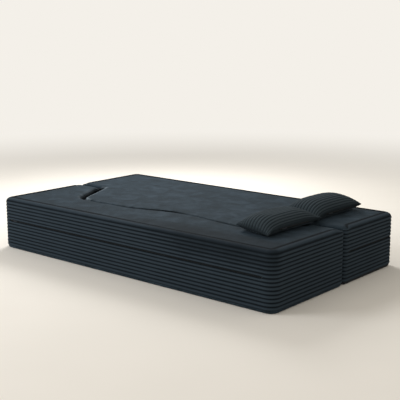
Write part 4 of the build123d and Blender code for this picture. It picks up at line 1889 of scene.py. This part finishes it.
def zip_frame(x: float, y: float, z: float, along: tuple, out: tuple) -> Matrix:
    """Give the frame of a zip's slider.

    Args:
        x: where it stands along the bed.
        y: where it stands across the bed.
        z: its height.
        along: the way the slider runs.
        out: the way out of the cover.

    Returns:
        A matrix whose X is the way along and whose Z is the way out.
    """
    run, face = Vector(along), Vector(out)
    rows = Matrix((run, face.cross(run), face)).transposed().to_4x4()
    return Matrix.Translation((x, y, z)) @ rows


# Studio

@dataclass
class Studio:
    """The pale floor, the soft lamps and the camera."""

    camera_spot: tuple[float, float, float] = (3.027, -3.484, 1.240)
    pitch: float = 11.376
    yaw: float = 40.351
    lens: float = 77.62
    sensor: float = 36.0
    sight: float = 200.0
    world_colour: str = "#F4F0E9"
    world_level: float = 0.58
    floor_size: float = 60.0
    floor_drop: float = 0.0005
    lamp_target: tuple[float, float, float] = (0, 0, 0.2)

    def floor(self) -> None:
        """Lay the floor."""
        deselect_all()
        bpy.ops.mesh.primitive_plane_add(size=self.floor_size, location=(0, 0, -self.floor_drop))
        plane = bpy.context.object
        plane.name = "pale_floor"
        wear_finish(plane, FLOOR)

    def lamp(self, name: str, spot: tuple, size: float, power: float, colour: str) -> None:
        """Hang one soft lamp that faces the bed.

        Args:
            name: the lamp's name.
            spot: where it hangs.
            size: the side of its square face.
            power: its power in watts.
            colour: its colour.
        """
        deselect_all()
        bpy.ops.object.light_add(type="AREA", location=spot)
        lamp = bpy.context.object
        lamp.name = name
        assign(lamp.data, {"shape": "SQUARE", "size": size, "energy": power, "color": srgb(colour)[:3]})
        lamp.rotation_euler = (Vector(self.lamp_target) - Vector(spot)).to_track_quat("-Z", "Y").to_euler()

    def world(self) -> None:
        """Fill the room with pale light."""
        world = bpy.data.worlds.new("pale_room")
        bpy.context.scene.world = world
        world.use_nodes = True
        tree = world.node_tree
        tree.nodes.clear()
        path = add_node(tree, "ShaderNodeLightPath")
        light, seen = (
            add_node(tree, "ShaderNodeBackground", None, {"Color": srgb(self.world_colour), "Strength": level})
            for level in (self.world_level, 1.0))
        mix = add_node(tree, "ShaderNodeMixShader", None,
                       {0: path.outputs["Is Camera Ray"], 1: light.outputs[0], 2: seen.outputs[0]})
        add_node(tree, "ShaderNodeOutputWorld", None, {"Surface": mix.outputs[0]})

    def camera(self) -> None:
        """Set the camera at the photograph's viewing angle."""
        deselect_all()
        turn = (math.radians(90 - self.pitch), 0, math.radians(self.yaw))
        bpy.ops.object.camera_add(location=self.camera_spot, rotation=turn)
        camera = bpy.context.object
        assign(camera.data, {"lens": self.lens, "sensor_width": self.sensor, "clip_end": self.sight})
        bpy.context.scene.camera = camera

    def build(self) -> None:
        """Set the whole studio."""
        bpy.context.scene.view_settings.view_transform = "Standard"
        self.floor()
        self.world()
        self.lamp("back_lamp", (-1.7, 1.5, 2.0), 1.2, 62, "#FFFFFF")
        self.lamp("window_lamp", (-3.0, -3.8, 2.6), 2.4, 120, "#F6F9FF")
        self.lamp("fill_lamp", (3.6, -3.8, 2.6), 2.6, 26, "#FFF8EF")
        self.camera()


def seat_block() -> Block:
    """Give the far block, whose tongue is the seat."""
    slider_x = PLAN.half_length - PLAN.outer_radius - PLAN.slider_margin
    place = zip_frame(slider_x, PLAN.half_width - PLAN.skin_inset, PLAN.mid_seam_z, (-1, 0, 0), (0, 1, 0))
    return Block("seat", PLAN.seat_corners(), "tongue", ("seat_root_foam", "seat_tongue_foam"),
                 ("seat_comfort_foam",), seat_zip_share, place, BASE_CLOTH, "base_cloth", seed=1.7,
                 crease_dip=0.003, edge_painted_highlight=0.9)


def back_block() -> Block:
    """Give the near block, which folds over as the back and the arms."""
    slider_x = PLAN.outer_radius + PLAN.zip_end_margin + PLAN.slider_margin - PLAN.half_length
    place = zip_frame(slider_x, PLAN.skin_inset - PLAN.half_width, PLAN.mid_seam_z, (1, 0, 0), (0, -1, 0))
    return Block("back", PLAN.back_corners(), "recess",
                 ("back_left_arm_foam", "back_centre_foam", "back_right_arm_foam"),
                 ("back_left_arm_comfort_foam", "back_centre_comfort_foam", "back_right_arm_comfort_foam"),
                 back_zip_share, place, PLUSH, "plush", seed=5.3, crease_dip=0.019, edge_painted_highlight=0.2)


NEAR_PILLOW = Pillow("near", 0.672, -0.150, -2.0, 3.0, (
    (-1, -1, (0.020, 0.030, 0.0)), (1, -1, (0.0, -0.004, -0.016)), (-1, 1, (0.010, 0.0, 0.0)),
    (1, 1, (0.006, 0.010, 0.002))))
FAR_PILLOW = Pillow("far", 0.655, 0.275, -1.0, 17.0, (
    (1, -1, (0.004, -0.008, -0.016)), (1, 1, (0.004, 0.0, 0.004)), (-1, 1, (0.025, 0.0, 0.0)),
    (-1, -1, (0.028, 0.006, 0.0))))


def main() -> None:
    """Build the bed, its pillows, its hinge and the studio."""
    logging.basicConfig(level=logging.INFO, format="%(name)s %(message)s")
    arm_x = PLAN.half_length - PLAN.arm_width / 2
    for part in (Studio(), seat_block(), back_block(), NEAR_PILLOW, FAR_PILLOW, HingeTape("left", -arm_x),
                 HingeTape("right", arm_x)):
        part.build()


if __name__ == "__main__":
    main()
